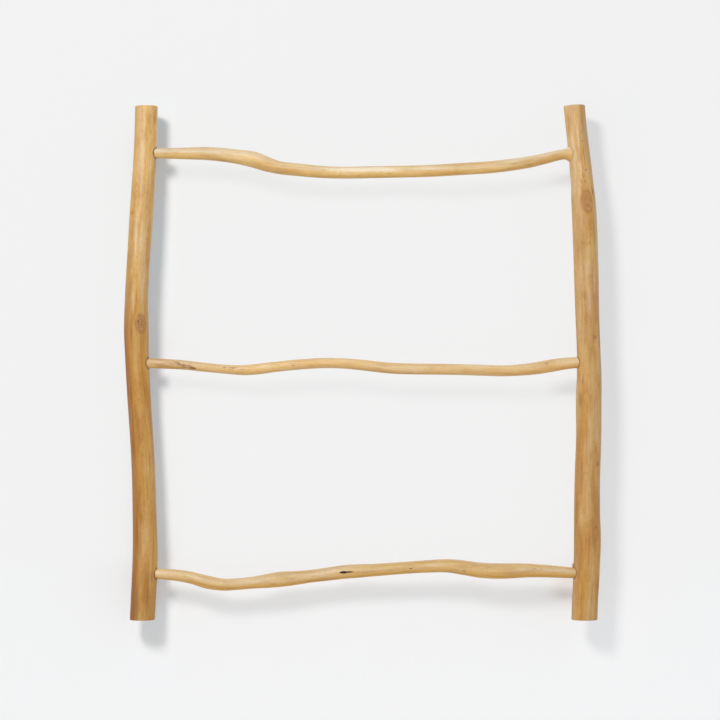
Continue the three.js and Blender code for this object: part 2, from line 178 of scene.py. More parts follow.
# Where the darker left side of each post shows: (strength, side where it starts, side where it is
# full, reach down the post), and where the underside of a rung shows its painted shade
POST_EDGES = {"left": (0.85, -0.1, -0.75, (-0.15, -0.29)), "right": (0.2, -0.5, -1.0, (0.05, -0.05))}
RUNG_UNDER_SHADE = (1.0, 0.5, -0.9, (-10, -9))
# Where the wood of a post turns from the colour of its top to that of its foot
POST_REACHES = {"left": (0.0, -0.3), "right": (0.07, -0.5)}
# Seeds of each branch's hollows and of its grain
SEEDS = {
    "left_post": (3.1, 1), "right_post": (14.1, 2),
    "top_rung": (40.7, 5), "middle_rung": (53.7, 6), "bottom_rung": (66.7, 7),
}
# Tint of each rung's left end, which fades out over a reach in metres
RUNG_FADE = 0.2
RUNG_STARTS = {"top": (0.92, 0.93, 0.97), "middle": (0.935, 0.915, 0.88), "bottom": (1.02, 1.07, 1.16)}

# Noises in the wood of the branches: (stretch along the branch, scale, detail, roughness)
GRAINS = {
    "band": (0.07, 110, 2, 0.5), "streak": (0.05, 260, 3, 0.5), "fibre": (0.04, 850, 4, 0.6),
    "cloud": (0.4, 58, 3, 0.55), "curl": (1.6, 210, 2, 0.5), "pore": (0.1, 1900, 2, 0.5),
    "patch": (0.14, 72, 2, 0.5), "mottle": (0.5, 380, 3, 0.6), "tick": (0.25, 560, 2, 0.6),
    "slash": (0.13, 620, 3, 0.6),
}
# What they multiply the wood's red, green and blue by
HONEY, TAN = (1.0, 0.90, 0.64, 1), (0.86, 0.77, 0.67, 1)
DARK, BRIGHT = (0.72, 0.58, 0.42, 1), (1.05, 1.12, 1.36, 1)
PORES = (0.62, 0.74)  # where pores start in their noise, and are full
# How they tint the wood: (noise, where it starts, where it is full, share, tint)
TINTS = (
    ("band", 0.42, 0.6, 0.85, HONEY), ("patch", 0.5, 0.66, 0.8, TAN), ("patch", 0.5, 0.34, 0.85, BRIGHT),
    ("cloud", 0.5, 0.68, 0.7, TAN), ("cloud", 0.5, 0.32, 0.8, BRIGHT), ("curl", 0.52, 0.75, 0.35, TAN),
    ("mottle", 0.52, 0.75, 0.35, TAN), ("mottle", 0.48, 0.25, 0.6, BRIGHT),
    ("streak", 0.5, 0.28, 0.4, DARK), ("fibre", 0.5, 0.28, 0.4, DARK),
    ("fibre", 0.52, 0.72, 0.6, BRIGHT), ("pore", *PORES, 0.35, DARK),
)

# How far out from its middle a mark is full and how ragged its rim is. Sharp marks end in points.
SHARP_MARKS = {"pit": (0.8, 0.25), "heart": (0.55, 0.5), "crack": (0.45, 0.6)}
SOFT_MARK = (0.1, 0.8)

# The felt pads' corner radius in millimetres, and their side from its middle to the face, as shares of
# the half thickness and of the width
FELT_CORNER = 4
FELT_SIDE = [(0.35, 1.0), (0.6, 0.985), (0.8, 0.96), (0.93, 0.93), (1.0, 0.88), (0.95, 0.6), (0.96, 0.3)]

# The studio, in metres: the wall's face and the floor, and the point straight before the camera (x, z)
WALL_Y, FLOOR_Z = 0.0006, -1.15
VIEW_MIDDLE = (-0.003, -0.3102)
BACK_LAMP = (0.9, (0.7, 1.5, 0.6))  # diameter and place
# Tints of the lamp and of the room's light, which together light a wall neutrally
WARM = (1.0, 0.975, 0.945)
COOL = (0.775, 0.80, 0.825)
# Tints of the wall's matt paint and of its even part, elsewhere and beside the posts, where they cancel
# the warm light that the wood throws into the shadows
MATT, EVEN = (1.025, 1.035, 1.055), (1.0, 1.0, 1.0)
LEFT_MATT, LEFT_EVEN = (1.12, 1.075, 1.035), (0.3, 1.06, 1.7)
RIGHT_MATT, RIGHT_EVEN = (1.09, 1.04, 0.975), (0.955, 1.015, 1.099)
# The wall's paint makes up for the distance to the lamp, past this spot and up to a limit
NEAR_SPOT, FAR_LIMIT, FALLOFF = (-0.33, 0, -0.315), 1.35, 1.05
# Zones of the wall where shadows show, in metres: the (start, full) of each edge, across it or up it
LOW_WALL = (-0.6, -0.645)
POST_ZONE = ((0.105, 0.065), (-0.83, -0.78))
LEFT_ZONE = ((-0.37, -0.33), (-0.274, -0.293))
LEFT_FOOT = (-0.74, -0.68)
RIGHT_ZONE = ((0.305, 0.34), (0.46, 0.4))
WAIST_ZONE, WAIST = ((-0.27, -0.33), (-0.47, -0.4)), 0.012  # where the left zone is narrower, by how much
# Deeper shade under the right end of each rung: (lower edge, upper edge, how much deeper)
CORNER_ZONE = ((0.272, 0.309), (0.335, 0.312))
CORNERS = ((-0.055, -0.018, 0.14), (-0.37, -0.325, 0.2), (-0.68, -0.63, 0.34))

# Marks in the wood: (tone, x and z of one end, x and z of the other, half width, strength, and a dent
# if any), in millimetres from the origin. The tone names a colour of the wood look, or flat for a dent
# alone.
MARKS = {
    "left_post": [
        # The second mark here is a painted highlight down the middle of the post's top
        ("pale", -320.5, -84, -330.5, -290, 4.2, 0.28), ("pale", -325, 68, -331, -112, 4.6, 0.36),
        ("amber", -338.3, 100, -341.3, -34, 3.8, 0.65), ("pale", -339.5, -186, -341.5, -248, 3.4, 0.35),
        ("knot", -330.4, -242, -328.8, -270, 8.2, 0.85, 0.5),
        ("heart", -333.6, -250.4, -333.2, -254.2, 1.3, 0.9, 0.6),
        ("heart", -329.6, -255.2, -328.8, -258.6, 0.8, 0.7, 0.3),
        ("heart", -332.4, -261, -331.8, -263.4, 0.6, 0.5, 0.2),
        ("rust", -343.5, -85, -343.5, -96, 3.6, 0.55),
        ("rust", -318.6, -441, -316.6, -480, 1.7, 0.5, 0.1),
        ("rust", -342.6, -695.4, -341, -697.4, 1.2, 0.7, 0.3),
        ("heart", -321.6, -305.6, -320.6, -309, 1.1, 0.6, 0.2),
        ("rust", -314.5, -624, -313.8, -646, 2.0, 0.5), ("soot", -310.6, 68, -311.4, 40, 1.8, 0.4),
        ("rust", -339.5, -664, -340, -694, 5.0, 0.45), ("rust", -336, -630, -337, -698, 3.6, 0.75),
        ("soot", -331.6, -92, -331, -100, 1.0, 0.25), ("rust", -349, -300, -349.5, -350, 3.0, 0.4),
        # The first mark here is a painted highlight down the middle of the post's top
        ("pale", -328.5, 62, -336, -80, 3.6, 0.4), ("pale", -335.5, -46, -338, -186, 3.4, 0.45),
    ],
    "right_post": [
        ("knot", 335, -58, 336.6, -90, 8.6, 0.55, 0.5), ("rust", 324, 112, 338, -46, 7, 0.42),
        ("amber", 330.5, 120, 345.5, -100, 3.8, 0.75), ("pale", 309.5, 68, 322, -66, 3.4, 0.33),
        ("pale", 336, -190, 337, -250, 6, 0.3), ("pale", 322, -2, 328, -44, 3.4, 0.35),
        ("pale", 324, -130, 326, -240, 5, 0.3), ("pale", 345, -150, 348, -235, 4, 0.25),
        ("heart", 342.4, -49.2, 344.8, -68.3, 0.8, 0.75, 0.3),
        ("heart", 328.6, 17, 333.8, -27, 0.6, 0.5, 0.3), ("heart", 328.2, 18, 328.8, 14.6, 1.1, 0.6, 0.2),
        ("heart", 333.6, -24.4, 334.2, -29, 1.1, 0.7, 0.3), ("rust", 328.4, 35, 325.6, 24, 0.9, 0.6, 0.1),
        ("flecks", 324, 4, 331, -68, 7.5, 0.7), ("pale", 319, 60, 325, -14, 2.4, 0.4),
        ("rust", 322.6, 66, 328, -16, 0.9, 0.45, 0.1), ("heart", 338, -132, 338.2, -140, 0.7, 0.45, 0.1),
        ("soot", 343.6, -156, 343.4, -170, 1.6, 0.3), ("rust", 346.4, -271, 347.2, -281, 4.6, 0.6, 0.2),
        ("rust", 329, -331, 326.6, -352, 2.2, 0.45), ("rust", 325.4, -352, 325, -386, 3.4, 0.6),
        ("rust", 350.4, -459, 350, -471, 4.4, 0.55, 0.3),
        ("heart", 347.8, -556, 348, -562, 0.9, 0.7, 0.2), ("rust", 322.4, -598, 322.8, -606, 1.2, 0.5),
        ("rust", 321.4, -668, 321.2, -680, 0.9, 0.5), ("flat", 312.5, 62, 322, -16, 4.4, 0, 0.7),
        ("flat", 315.4, -612, 315.2, -624, 5, 0, -2.6),
    ],
    "top_rung": [
        ("soot", 219, -18.6, 234, -16.8, 1.7, 0.4), ("soot", 244, -20.2, 257, -18.6, 1.5, 0.45),
        ("rust", 34, -31.4, 47, -31, 0.9, 0.55, 0.1), ("cream", -86, -24, 62, -25.5, 6, 0.8),
        ("cream", 4, -24, 60, -25, 5.5, 0.6), ("rust", 84, -32, 112, -31, 1.4, 0.25),
        ("soot", -222, -9, -190, -15, 1.6, 0.3),
    ],
    "middle_rung": [
        ("rust", -324, -315.5, -258, -319, 9, 0.3), ("scar", -320, -315.5, -243, -322.5, 5.5, 0.35),
        # The pale mark here is a painted highlight along the top of the rung
        ("scar", -285, -311.6, -249, -324, 4.2, 0.55, 0.1), ("pale", -319, -312.4, -290, -314, 1.8, 0.5),
        ("rust", -319, -309.6, -282, -310.2, 1.2, 0.45), ("rust", -321, -321.4, -262, -325, 2, 0.7),
        ("crack", -280.6, -312.8, -269.4, -317.2, 1.0, 0.95, 0.1),
        ("crack", -272, -316.6, -260.4, -318.9, 1.2, 0.8, 0.1),
        ("crack", -260.8, -319.8, -247.4, -324.2, 1.4, 0.95, 0.1),
        ("rust", -278, -316.2, -267.5, -319.2, 1.2, 0.7, 0.1),
        ("rust", -263, -323, -247.4, -324.4, 1.4, 0.7, 0.1),
        ("crack", -254, -320.2, -247.8, -323.4, 0.9, 0.8, 0.1),
        ("heart", -208.6, -321.4, -203, -321.8, 0.9, 0.7, 0.1),
        ("scar", -209, -320.6, -173, -324, 3.0, 0.8, 0.1), ("scar", -172, -322, -112, -316, 2.4, 0.4),
        ("scar", -111, -316, -87, -317.8, 2.6, 0.9),
        ("heart", 272.6, -315.6, 277.4, -315.2, 0.8, 0.7, 0.2), ("soot", 20, -323, 34, -323.6, 1.0, 0.25),
    ],
    "bottom_rung": [
        # The slits' dark colour is painted shade inside them, over a shallow dent
        ("pit", -34.6, -628.0, -19.6, -627.2, 2.0, 1.0, 0.5),
        ("pit", -28, -627.6, -11.6, -626.6, 1.1, 1.0, 0.3),
        ("pit", 70.4, -621.4, 75.2, -621, 0.9, 0.75, 0.5),
        ("soot", 76.4, -618.6, 77.6, -618.6, 0.5, 0.6, 0.1),
        ("soot", 75.2, -616.4, 76.6, -616.4, 0.4, 0.5, 0.1), ("soot", 36, -624, 48, -623.2, 1.2, 0.35),
        ("heart", 149, -624.2, 155.4, -624, 0.8, 0.7, 0.2), ("soot", 100, -625, 112, -624.4, 1.0, 0.4),
        ("heart", 253.5, -621.2, 259.6, -621.2, 0.6, 0.5, 0.1),
        ("heart", 265.4, -621.2, 269, -621.2, 0.6, 0.5, 0.1),
        ("heart", 224.6, -633.4, 227, -633.6, 0.9, 0.5, 0.1),
        ("rust", -140, -645.4, -126, -644.6, 1.3, 0.45), ("soot", -250, -632, -228, -637, 1.0, 0.2),
    ],
}


def measure(name, description, default, low=0.0, unit="LENGTH"):
    return FloatProperty(name=name, description=description, default=default, min=low, unit=unit)


def factor(name, description, default, low=0.0, high=1.0):
    return FloatProperty(
        name=name, description=description, default=default, min=low, max=high, subtype="FACTOR",
    )


def count(name, description, default, low):
    return IntProperty(name=name, description=description, default=default, min=low)


def colour(name, description, default):
    return FloatVectorProperty(
        name=name, description=description, default=default, size=3, min=0, max=1, subtype="COLOR_GAMMA",
    )


class RackSizes(PropertyGroup):
    """Main sizes of the rack and the fineness of its branches"""

    post_spacing: measure("Post Spacing", "Distance between the posts' middles at their tops", 0.651, 0.1)
    post_out: measure("Post Out", "Distance from the wall to the middle of a straight post", 0.042, 0.02)
    top_reach: measure("Top Reach", "How far the posts stand above the top rung", 0.073)
    upper_bay: measure("Upper Bay", "Drop from the top rung to the middle one", 0.315, 0.05)
    lower_bay: measure("Lower Bay", "Drop from the middle rung to the bottom one", 0.316, 0.05)
    foot_reach: measure("Foot Reach", "How far the posts run on below the bottom rung", 0.0695)
    post_roundness: factor("Post Roundness", "Depth of a post as a share of its width", 0.97, 0.5)
    top_arris: measure("Top Arris", "Rounding of the edge of the posts' top ends", 0.0008)
    foot_arris: measure("Foot Arris", "Rounding of the edge of the posts' feet", 0.0013)
    block_corner: measure("Block Corner", "Radius of the stand-off blocks' corners", 0.006, 0.001)
    block_draft: measure("Block Draft", "How much a block's sides close in towards the wall", 0.0022)
    block_ease: measure("Block Ease", "Rounding of the stand-off blocks' edges", 0.0006)
    plate_ease: measure("Plate Ease", "Bevel of the hanger plates' edges", 0.00025)
    lump_depth: measure("Lump Depth", "Depth of the soft hollows that debarking leaves", 0.0005)
    post_rings: count("Post Rings", "Rings of faces along a post", 480, 40)
    post_sides: count("Post Sides", "Faces round a post", 80, 12)
    rung_rings: count("Rung Rings", "Rings of faces along a rung", 560, 40)
    rung_sides: count("Rung Sides", "Faces round a rung", 56, 12)


class WoodLook(PropertyGroup):
    """Colours of the wood, among them the painted highlight and shade of the rungs and the painted shade at
    the joints and in slits, and how strongly its grain shows
    """

    left_head: colour("Left Post Top", "Wood at the top of the left post", (0.865, 0.72, 0.475))
    left_foot: colour("Left Post Foot", "Wood at the foot of the left post", (0.785, 0.607, 0.34))
    left_edge: colour("Left Post Edge", "Left side of the left post", (0.66, 0.435, 0.195))
    right_head: colour("Right Post Top", "Wood at the top of the right post", (0.865, 0.725, 0.515))
    right_foot: colour("Right Post Foot", "Wood at the foot of the right post", (0.82, 0.643, 0.39))
    right_edge: colour("Right Post Edge", "Left side of the right post", (0.81, 0.622, 0.36))
    # The rungs' upper colours are their wood painted paler where light falls on their tops, a painted
    # highlight, and their underside colours are painted shade
    top_rung: colour("Top Rung", "Upper side of the top rung", (0.915, 0.81, 0.63))
    top_under: colour("Top Rung Underside", "Lower side of the top rung", (0.905, 0.74, 0.455))
    middle_rung: colour("Middle Rung", "Upper side of the middle rung", (0.92, 0.80, 0.61))
    middle_under: colour("Middle Rung Underside", "Lower side of the middle rung", (0.905, 0.735, 0.47))
    bottom_rung: colour("Bottom Rung", "Upper side of the bottom rung", (0.883, 0.76, 0.57))
    bottom_under: colour("Bottom Rung Underside", "Lower side of the bottom rung", (0.876, 0.672, 0.335))
    block: colour("Blocks", "Planed wood of the stand-off blocks", (0.80, 0.66, 0.47))
    peg: colour("Pegs", "Wood of the pegs", (0.81, 0.68, 0.49))
    knot: colour("Knots", "Inside of a knot", (0.66, 0.46, 0.31))
    # Hearts also colour the painted shade round the joints
    heart: colour("Hearts", "Dark hearts of knots and deep cracks", (0.40, 0.24, 0.15))
    crack: colour("Cracks", "Fine brown cracks", (0.53, 0.345, 0.2))
    rust: colour("Stains", "Warm brown stains", (0.62, 0.42, 0.24))
    amber: colour("Amber", "Yellow-brown stretches of a post", (0.83, 0.60, 0.26))
    soot: colour("Smudges", "Grey-brown smudges", (0.52, 0.41, 0.29))
    cream: colour("Bleached Wood", "Pale stretches of a rung", (0.97, 0.915, 0.80))
    # The pale tone serves real scratches and scars, and also painted highlights on the left post's top and
    # on the middle rung
    pale: colour("Scratches", "Pale scratches", (0.93, 0.835, 0.71))
    # Open slits are real, but their near-black colour is painted shade deep inside them
    pit: colour("Slits", "Open slits", (0.16, 0.075, 0.045))
    cut: colour("Cut Wood", "End grain and the walls of sockets", (0.66, 0.50, 0.33))
    grain: factor("Grain", "Strength of the fibres and streaks", 1.0, high=2.0)
    roughness: factor("Roughness", "Roughness of the sanded wood", 0.44)
    sheen: factor("Sheen", "Strength of the sanded wood's reflections", 0.36)
    fibre_relief: measure("Fibre Relief", "Depth of the raised fibres", 0.00025)


class StageLook(PropertyGroup):
    """Wall, floor, lamps and camera of the studio"""

    wall: colour("Wall", "Colour of the wall and the floor", (0.949, 0.949, 0.948))
    key_power: measure("Key Power", "Power of the soft lamp at the upper left", 34.0, unit="POWER")
    key_size: measure("Key Size", "Diameter of the soft lamp at the upper left", 0.58, 0.05)
    key_place: FloatVectorProperty(
        name="Key Place", description="Where the soft lamp at the upper left stands",
        default=(-0.93, -2.0, 1.05), size=3, subtype="TRANSLATION", unit="LENGTH",
    )
    back_power: measure("Back Power", "Power of the soft lamp behind the wall", 9.0, unit="POWER")
    front_sky: measure("Front Sky", "Strength of the even light from the room", 0.5, unit="NONE")
    right_sky: measure("Right Sky", "Extra light from the right of the room", 0.54, unit="NONE")
    back_sky: measure("Back Sky", "Strength of the even light from behind", 0.4, unit="NONE")
    floor_glow: factor("Floor Glow", "How much of its full brightness the floor always shows", 0.8)
    left_shade: factor("Left Shade", "How much of a shadow the wall shows beside the left post", 0.9)
    right_shade: factor("Right Shade", "How much of a shadow it shows beside the right post", 0.5)
    upper_shade: factor("Upper Shade", "How much of a shadow it shows behind the top rung", 0.13)
    lower_shade: factor("Lower Shade", "How much of a shadow it shows behind the bottom rung", 0.5)
    distance: measure("Distance", "Distance from the camera to the rack", 2.85, 0.5)
    lens: measure("Lens", "Focal length that frames the rack with its margin", 95.0, 20.0, "CAMERA")


# Branches: their middle lines, their thickness and where their wood lies about that line


def smooth(points):
    """A smooth curve through points (share, millimetres), level beyond its ends, in metres"""
    t, v = np.array(points, float).T
    slope = np.diff(v) / np.diff(t)
    tangent = np.concatenate([[slope[0]], (slope[:-1] + slope[1:]) / 2, [slope[-1]]])

    def curve(share):
        share = np.clip(share, t[0], t[-1])
        i = np.clip(np.searchsorted(t, share, side="right") - 1, 0, len(t) - 2)
        h = t[i + 1] - t[i]
        p = (share - t[i]) / h
        ends = (2 * p**3 - 3 * p**2 + 1) * v[i] + (3 * p**2 - 2 * p**3) * v[i + 1]
        leans = (p**3 - 2 * p**2 + p) * tangent[i] + (p**3 - p**2) * tangent[i + 1]
        return (ends + leans * h) * MM

    return curve


class Branch:
    """A branch about its bent middle line. Its own frame is across, depth and along: across runs
    sideways on a post and upwards on a rung, depth is towards the wall, along is the long axis."""

    def __init__(self, name, axes, middle, half, roundness=1.0):
        self.name = name
        self.axes = axes
        self.middle = middle
        self.half = half
        self.roundness = roundness

    def bent(self, own):
        """Points of the branch's own frame, in the rack's"""
        across, depth = self.middle(own[:, 2])
        place = np.empty_like(own)
        place[:, self.axes[0]] = own[:, 0] + across
        place[:, self.axes[1]] = own[:, 1] + depth
        place[:, self.axes[2]] = own[:, 2]
        return place

    def straight(self, place):
        """Points of the rack, in the branch's own frame"""
        along = place[:, self.axes[2]]
        across, depth = self.middle(along)
        return np.stack([place[:, self.axes[0]] - across, place[:, self.axes[1]] - depth, along], axis=1)

    def at(self, along):
        """The middle line's place and half the width, at one place along the branch"""
        across, depth = self.middle(np.array([along]))
        return across[0], depth[0], self.half(np.array([along]))[0]


class Mark:
    """A mark in the wood's surface, as an ellipse in the branch's own frame"""

    REACH = 8 * MM  # how deep a mark goes, so that it stays on its side of the branch

    def __init__(self, branch, tone, x1, z1, x2, z2, half_width, strength, dent=0):
        self.tone, self.strength, self.dent = tone, strength, dent * MM
        middle_x, middle_z = (x1 + x2) / 2, (z1 + z2) / 2
        ends = np.array([[x1, 0, z1], [x2, 0, z2], [middle_x, 0, middle_z]]) * MM
        first, last, centre = branch.straight(ends)
        run = last - first
        self.turn = math.atan2(run[0], run[2])
        self.length = math.hypot(run[0], run[2]) / 2
        self.width = half_width * MM
        rise = max(branch.at(centre[2])[2] ** 2 - centre[0] ** 2, 0) ** 0.5
        self.centre = Vector((centre[0], -branch.roundness * rise, centre[2]))

    def share(self, own):
        """How far points of the branch's own frame are out from the mark's middle, 1 at its rim"""
        across, depth, along = (own - np.array(self.centre)).T
        sin, cos = math.sin(self.turn), math.cos(self.turn)
        wide = (across * cos - along * sin) / self.width
        long = (across * sin + along * cos) / self.length
        return np.sqrt(wide**2 + long**2 + (depth / self.REACH) ** 2)


def curves(shape):
    return [smooth(shape[key]) for key in ("bends", "bows", "girths")]


def post_branch(side, sizes):
    bend, bow, girth = curves(POST_SHAPES[side])
    length = sizes.top_reach + sizes.upper_bay + sizes.lower_bay + sizes.foot_reach
    start = SIDES[side] * sizes.post_spacing / 2 - bend(np.array([sizes.top_reach / length]))[0]

    def share(along):
        return (sizes.top_reach - along) / length

    return Branch(
        f"{side}_post", (0, 1, 2),
        lambda along: (start + bend(share(along)), -sizes.post_out - bow(share(along))),
        lambda along: girth(share(along)) / 2,
        sizes.post_roundness,
    )


def rung_height(level, sizes):
    return {"top": 0, "middle": -sizes.upper_bay, "bottom": -sizes.upper_bay - sizes.lower_bay}[level]


def seat(level, side, sizes):
    """Where a rung's middle line meets the inner face of a post"""
    shape = RUNG_SHAPES[level]
    z = rung_height(level, sizes) + (shape["rise"] * MM if side == "right" else 0)
    across, depth, half = post_branch(side, sizes).at(z)
    return Vector((across - SIDES[side] * half, depth - shape["forward"][side] * MM, z))


def rung_branch(level, sizes):
    left, right = seat(level, "left", sizes), seat(level, "right", sizes)
    bend, bow, girth = curves(RUNG_SHAPES[level])
    span = right.x - left.x

    def share(along):
        return np.clip((along - left.x) / span, 0, 1)

    def middle(along):
        s = share(along)
        return left.z + (right.z - left.z) * s + bend(s), left.y + (right.y - left.y) * s - bow(s)

    return Branch(f"{level}_rung", (2, 1, 0), middle, lambda along: girth(share(along)) / 2)


# Meshes


def placed(name, data):
    """A new object of the scene"""
    thing = bpy.data.objects.new(name, data)
    bpy.context.scene.collection.objects.link(thing)
    return thing


def piece_of(name, points, faces):
    """A new piece, with its faces turned outwards"""
    mesh = bpy.data.meshes.new(name)
    mesh.from_pydata([tuple(point) for point in points], [], faces)
    shell = bmesh.new()
    shell.from_mesh(mesh)
    bmesh.ops.recalc_face_normals(shell, faces=shell.faces)
    shell.to_mesh(mesh)
    shell.free()
    return placed(name, mesh)


def lathe(profile, sides, roundness=1.0):
    """Points and faces of a bar along its third axis, from (radius, place) pairs that start and end
    on the axis"""
    turn = np.arange(sides) * 2 * math.pi / sides
    ring = np.stack([np.cos(turn), roundness * np.sin(turn)], axis=1)
    body = [np.column_stack([ring * radius, np.full(sides, place)]) for radius, place in profile[1:-1]]
    points = np.vstack([[[0, 0, profile[0][1]]], *body, [[0, 0, profile[-1][1]]]])
    last = len(points) - 1
    faces = []
    for j in range(sides):
        k = (j + 1) % sides
        faces.append((0, 1 + k, 1 + j))
        for i in range(len(body) - 1):
            row = 1 + i * sides
            faces.append((row + j, row + k, row + sides + k, row + sides + j))
        row = last - sides
        faces.append((row + j, row + k, last))
    return points, faces


def turned(name, profile, sides, axis, place):
    """A turned bar whose own axis points along a direction of the rack"""
    points, faces = lathe(profile, sides)
    turn = Vector((0, 0, 1)).rotation_difference(Vector(axis)).to_matrix()
    return piece_of(name, np.array(points) @ np.array(turn).T + np.array(place), faces)


def settle(piece):
    """Applies a piece's modifiers"""
    view = bpy.context.evaluated_depsgraph_get()
    whole = bpy.data.meshes.new_from_object(piece.evaluated_get(view))
    old = piece.data
    piece.modifiers.clear()
    piece.data = whole
    whole.name = piece.name
    bpy.data.meshes.remove(old)


def carve(piece, tools):
    """Cuts tools out of a piece and clears them away"""
    for tool in tools:
        cut = piece.modifiers.new("cut", "BOOLEAN")
        cut.operation, cut.solver, cut.object = "DIFFERENCE", "EXACT", tool
    settle(piece)
    for tool in tools:
        bpy.data.meshes.remove(tool.data)


def finish_piece(piece, material, node, sharp=35):
    """Shades a piece, gives it its material, hangs it on the root body and hides the imported part that it
    stands for
    """
    mesh = piece.data
    mesh.polygons.foreach_set("use_smooth", [True] * len(mesh.polygons))
    mesh.set_sharp_from_angle(angle=math.radians(sharp))
    mesh.materials.clear()
    mesh.materials.append(material)
    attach(piece, "root")
    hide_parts(node)


def lumps(own, seed, size, stretch):
    """Smooth noise from 0 to 1 over points of a branch's own frame, stretched along it"""
    shift = Vector((seed, 0, 0))
    return np.array(
        [
            0.5 + 0.5 * noise.noise(Vector((x / size, y / size, z / (size * stretch))) + shift)
            for x, y, z in own.tolist()
        ]
    )


def branch_piece(branch, profile, sides, lump_depth, marks, seed, fit):
    """A branch from its profile of (radius, place along), hollowed a little by debarking and then
    fitted, which changes the points of its own frame"""
    own, faces = lathe(profile, sides, branch.roundness)
    radius = np.maximum(np.hypot(own[:, 0], own[:, 1] / branch.roundness), 1e-9)
    dent = lump_depth * (
        0.75 * lumps(own, seed, 14 * MM, 4.5) + 0.25 * lumps(own, seed + 7, 5 * MM, 5)
    )
    for mark in marks:
        dent += mark.dent * np.clip(1 - mark.share(own) ** 2, 0, 1) ** 1.5
    dent = np.minimum(dent, radius / 2)
    own[:, :2] *= (1 - dent / radius)[:, None]
    fit(own)
    return piece_of(branch.name + "_wood", branch.bent(own), faces)


def map_wood(piece, branch):
    """Stores where each point lies in the straight branch, how near it is to the surface, and how
    far to one side"""
    mesh = piece.data
    place = np.empty(len(mesh.vertices) * 3)
    mesh.vertices.foreach_get("co", place)
    own = branch.straight(place.reshape(-1, 3))
    radius = np.hypot(own[:, 0], own[:, 1] / branch.roundness)
    layer = mesh.attributes.new("wood_place", "FLOAT_VECTOR", "POINT")
    layer.data.foreach_set("vector", own.astype(np.float32).ravel())
    half = branch.half(own[:, 2])
    for name, value in (("wood_depth", radius / half), ("wood_side", own[:, 0] / half)):
        layer = mesh.attributes.new(name, "FLOAT", "POINT")
        layer.data.foreach_set("value", value.astype(np.float32))


# Materials: shader maths as Python expressions


class Signal:
    """A node's output, with the arithmetic that a material needs"""

    def __init__(self, finish, socket):
        self.finish = finish
        self.socket = socket

    def maths(self, operation, *values):
        return self.finish.add("ShaderNodeMath", {"operation": operation}, dict(enumerate(values)))

    def __add__(self, other):
        return self.maths("ADD", self, other)

    def __sub__(self, other):
        return self.maths("SUBTRACT", self, other)

    def __rsub__(self, other):
        return self.maths("SUBTRACT", other, self)

    def __mul__(self, other):
        return self.maths("MULTIPLY", self, other)

    def __truediv__(self, other):
        return self.maths("DIVIDE", self, other)

    def __rtruediv__(self, other):
        return self.maths("DIVIDE", other, self)

    __radd__ = __add__
    __rmul__ = __mul__

    def ease(self, low, high, start=0.0, end=1.0):
        """Runs smoothly from start to end as the value goes from low to high, and stays there"""
        settings = {"interpolation_type": "SMOOTHSTEP", "clamp": True}
        values = {"Value": self, "From Min": low, "From Max": high, "To Min": start, "To Max": end}
        return self.finish.add("ShaderNodeMapRange", settings, values)


class Finish:
    """The nodes of a material or a world under construction"""

    def __init__(self, owner):
        self.owner = owner
        self.tree = owner.node_tree
        self.tree.nodes.clear()

    def add(self, kind, settings=None, sockets=None, output=0):
        node = self.tree.nodes.new(kind)
        for key, value in (settings or {}).items():
            setattr(node, key, value)
        for key, value in (sockets or {}).items():
            if isinstance(value, Signal):
                self.tree.links.new(value.socket, node.inputs[key])
            else:
                node.inputs[key].default_value = value
        return None if output is None else Signal(self, node.outputs[output])

    def place(self, output="Object"):
        """Where a point lies in its piece's own frame"""
        return self.add("ShaderNodeTexCoord", None, None, output)

    def attribute(self, name, output):
        return self.add("ShaderNodeAttribute", {"attribute_name": name}, output=output)

    def noise(self, place, scale, detail, roughness, output="Fac"):
        sockets = {"Vector": place, "Scale": scale, "Detail": detail, "Roughness": roughness}
        return self.add("ShaderNodeTexNoise", {"noise_dimensions": "3D"}, sockets, output)

    def vector(self, operation, first, second):
        return self.add("ShaderNodeVectorMath", {"operation": operation}, {0: first, 1: second})

    def scaled(self, vector, amount):
        return self.add("ShaderNodeVectorMath", {"operation": "SCALE"}, {0: vector, "Scale": amount})

    def length(self, vector):
        return self.add("ShaderNodeVectorMath", {"operation": "LENGTH"}, {0: vector}, 1)

    def part(self, vector, index):
        """The x, y or z of a vector, by its index"""
        return self.add("ShaderNodeSeparateXYZ", None, {0: vector}, index)

    def mix(self, factor, first, second, blend="MIX"):
        settings = {"data_type": "RGBA", "blend_type": blend, "clamp_factor": True}
        return self.add("ShaderNodeMix", settings, {0: factor, 6: first, 7: second}, 2)

    def mix_shaders(self, factor, first, second):
        return self.add("ShaderNodeMixShader", None, {0: factor, 1: first, 2: second})

    def bump(self, height, distance):
        return self.add("ShaderNodeBump", None, {"Height": height, "Distance": distance})

    def studio_rays(self):
        """1 for the rays that show the studio: the camera's, and those of metal and of glass"""
        rays = [
            self.add("ShaderNodeLightPath", None, None, f"Is {ray} Ray")
            for ray in ("Camera", "Glossy", "Transmission")
        ]
        return sum(rays[1:], rays[0])

    def principled(self, **sockets):
        """A Principled BSDF from its sockets, with _ for a space"""
        values = {key.replace("_", " "): value for key, value in sockets.items()}
        return self.add("ShaderNodeBsdfPrincipled", None, values)

    def surface(self, **sockets):
        """The finished material, from the sockets of its Principled BSDF"""
        return self.end("ShaderNodeOutputMaterial", self.principled(**sockets))

    def end(self, kind, shader):
        self.add(kind, None, {"Surface": shader}, None)
        return self.owner


def finish(name):
    """A new material's nodes"""
    material = bpy.data.materials.new(name)
    material.use_nodes = True
    return Finish(material)


def linear(shade):
    """A display colour as the shader's own, with full alpha"""
    return (*[c / 12.92 if c <= 0.04045 else ((c + 0.055) / 1.055) ** 2.4 for c in shade], 1.0)


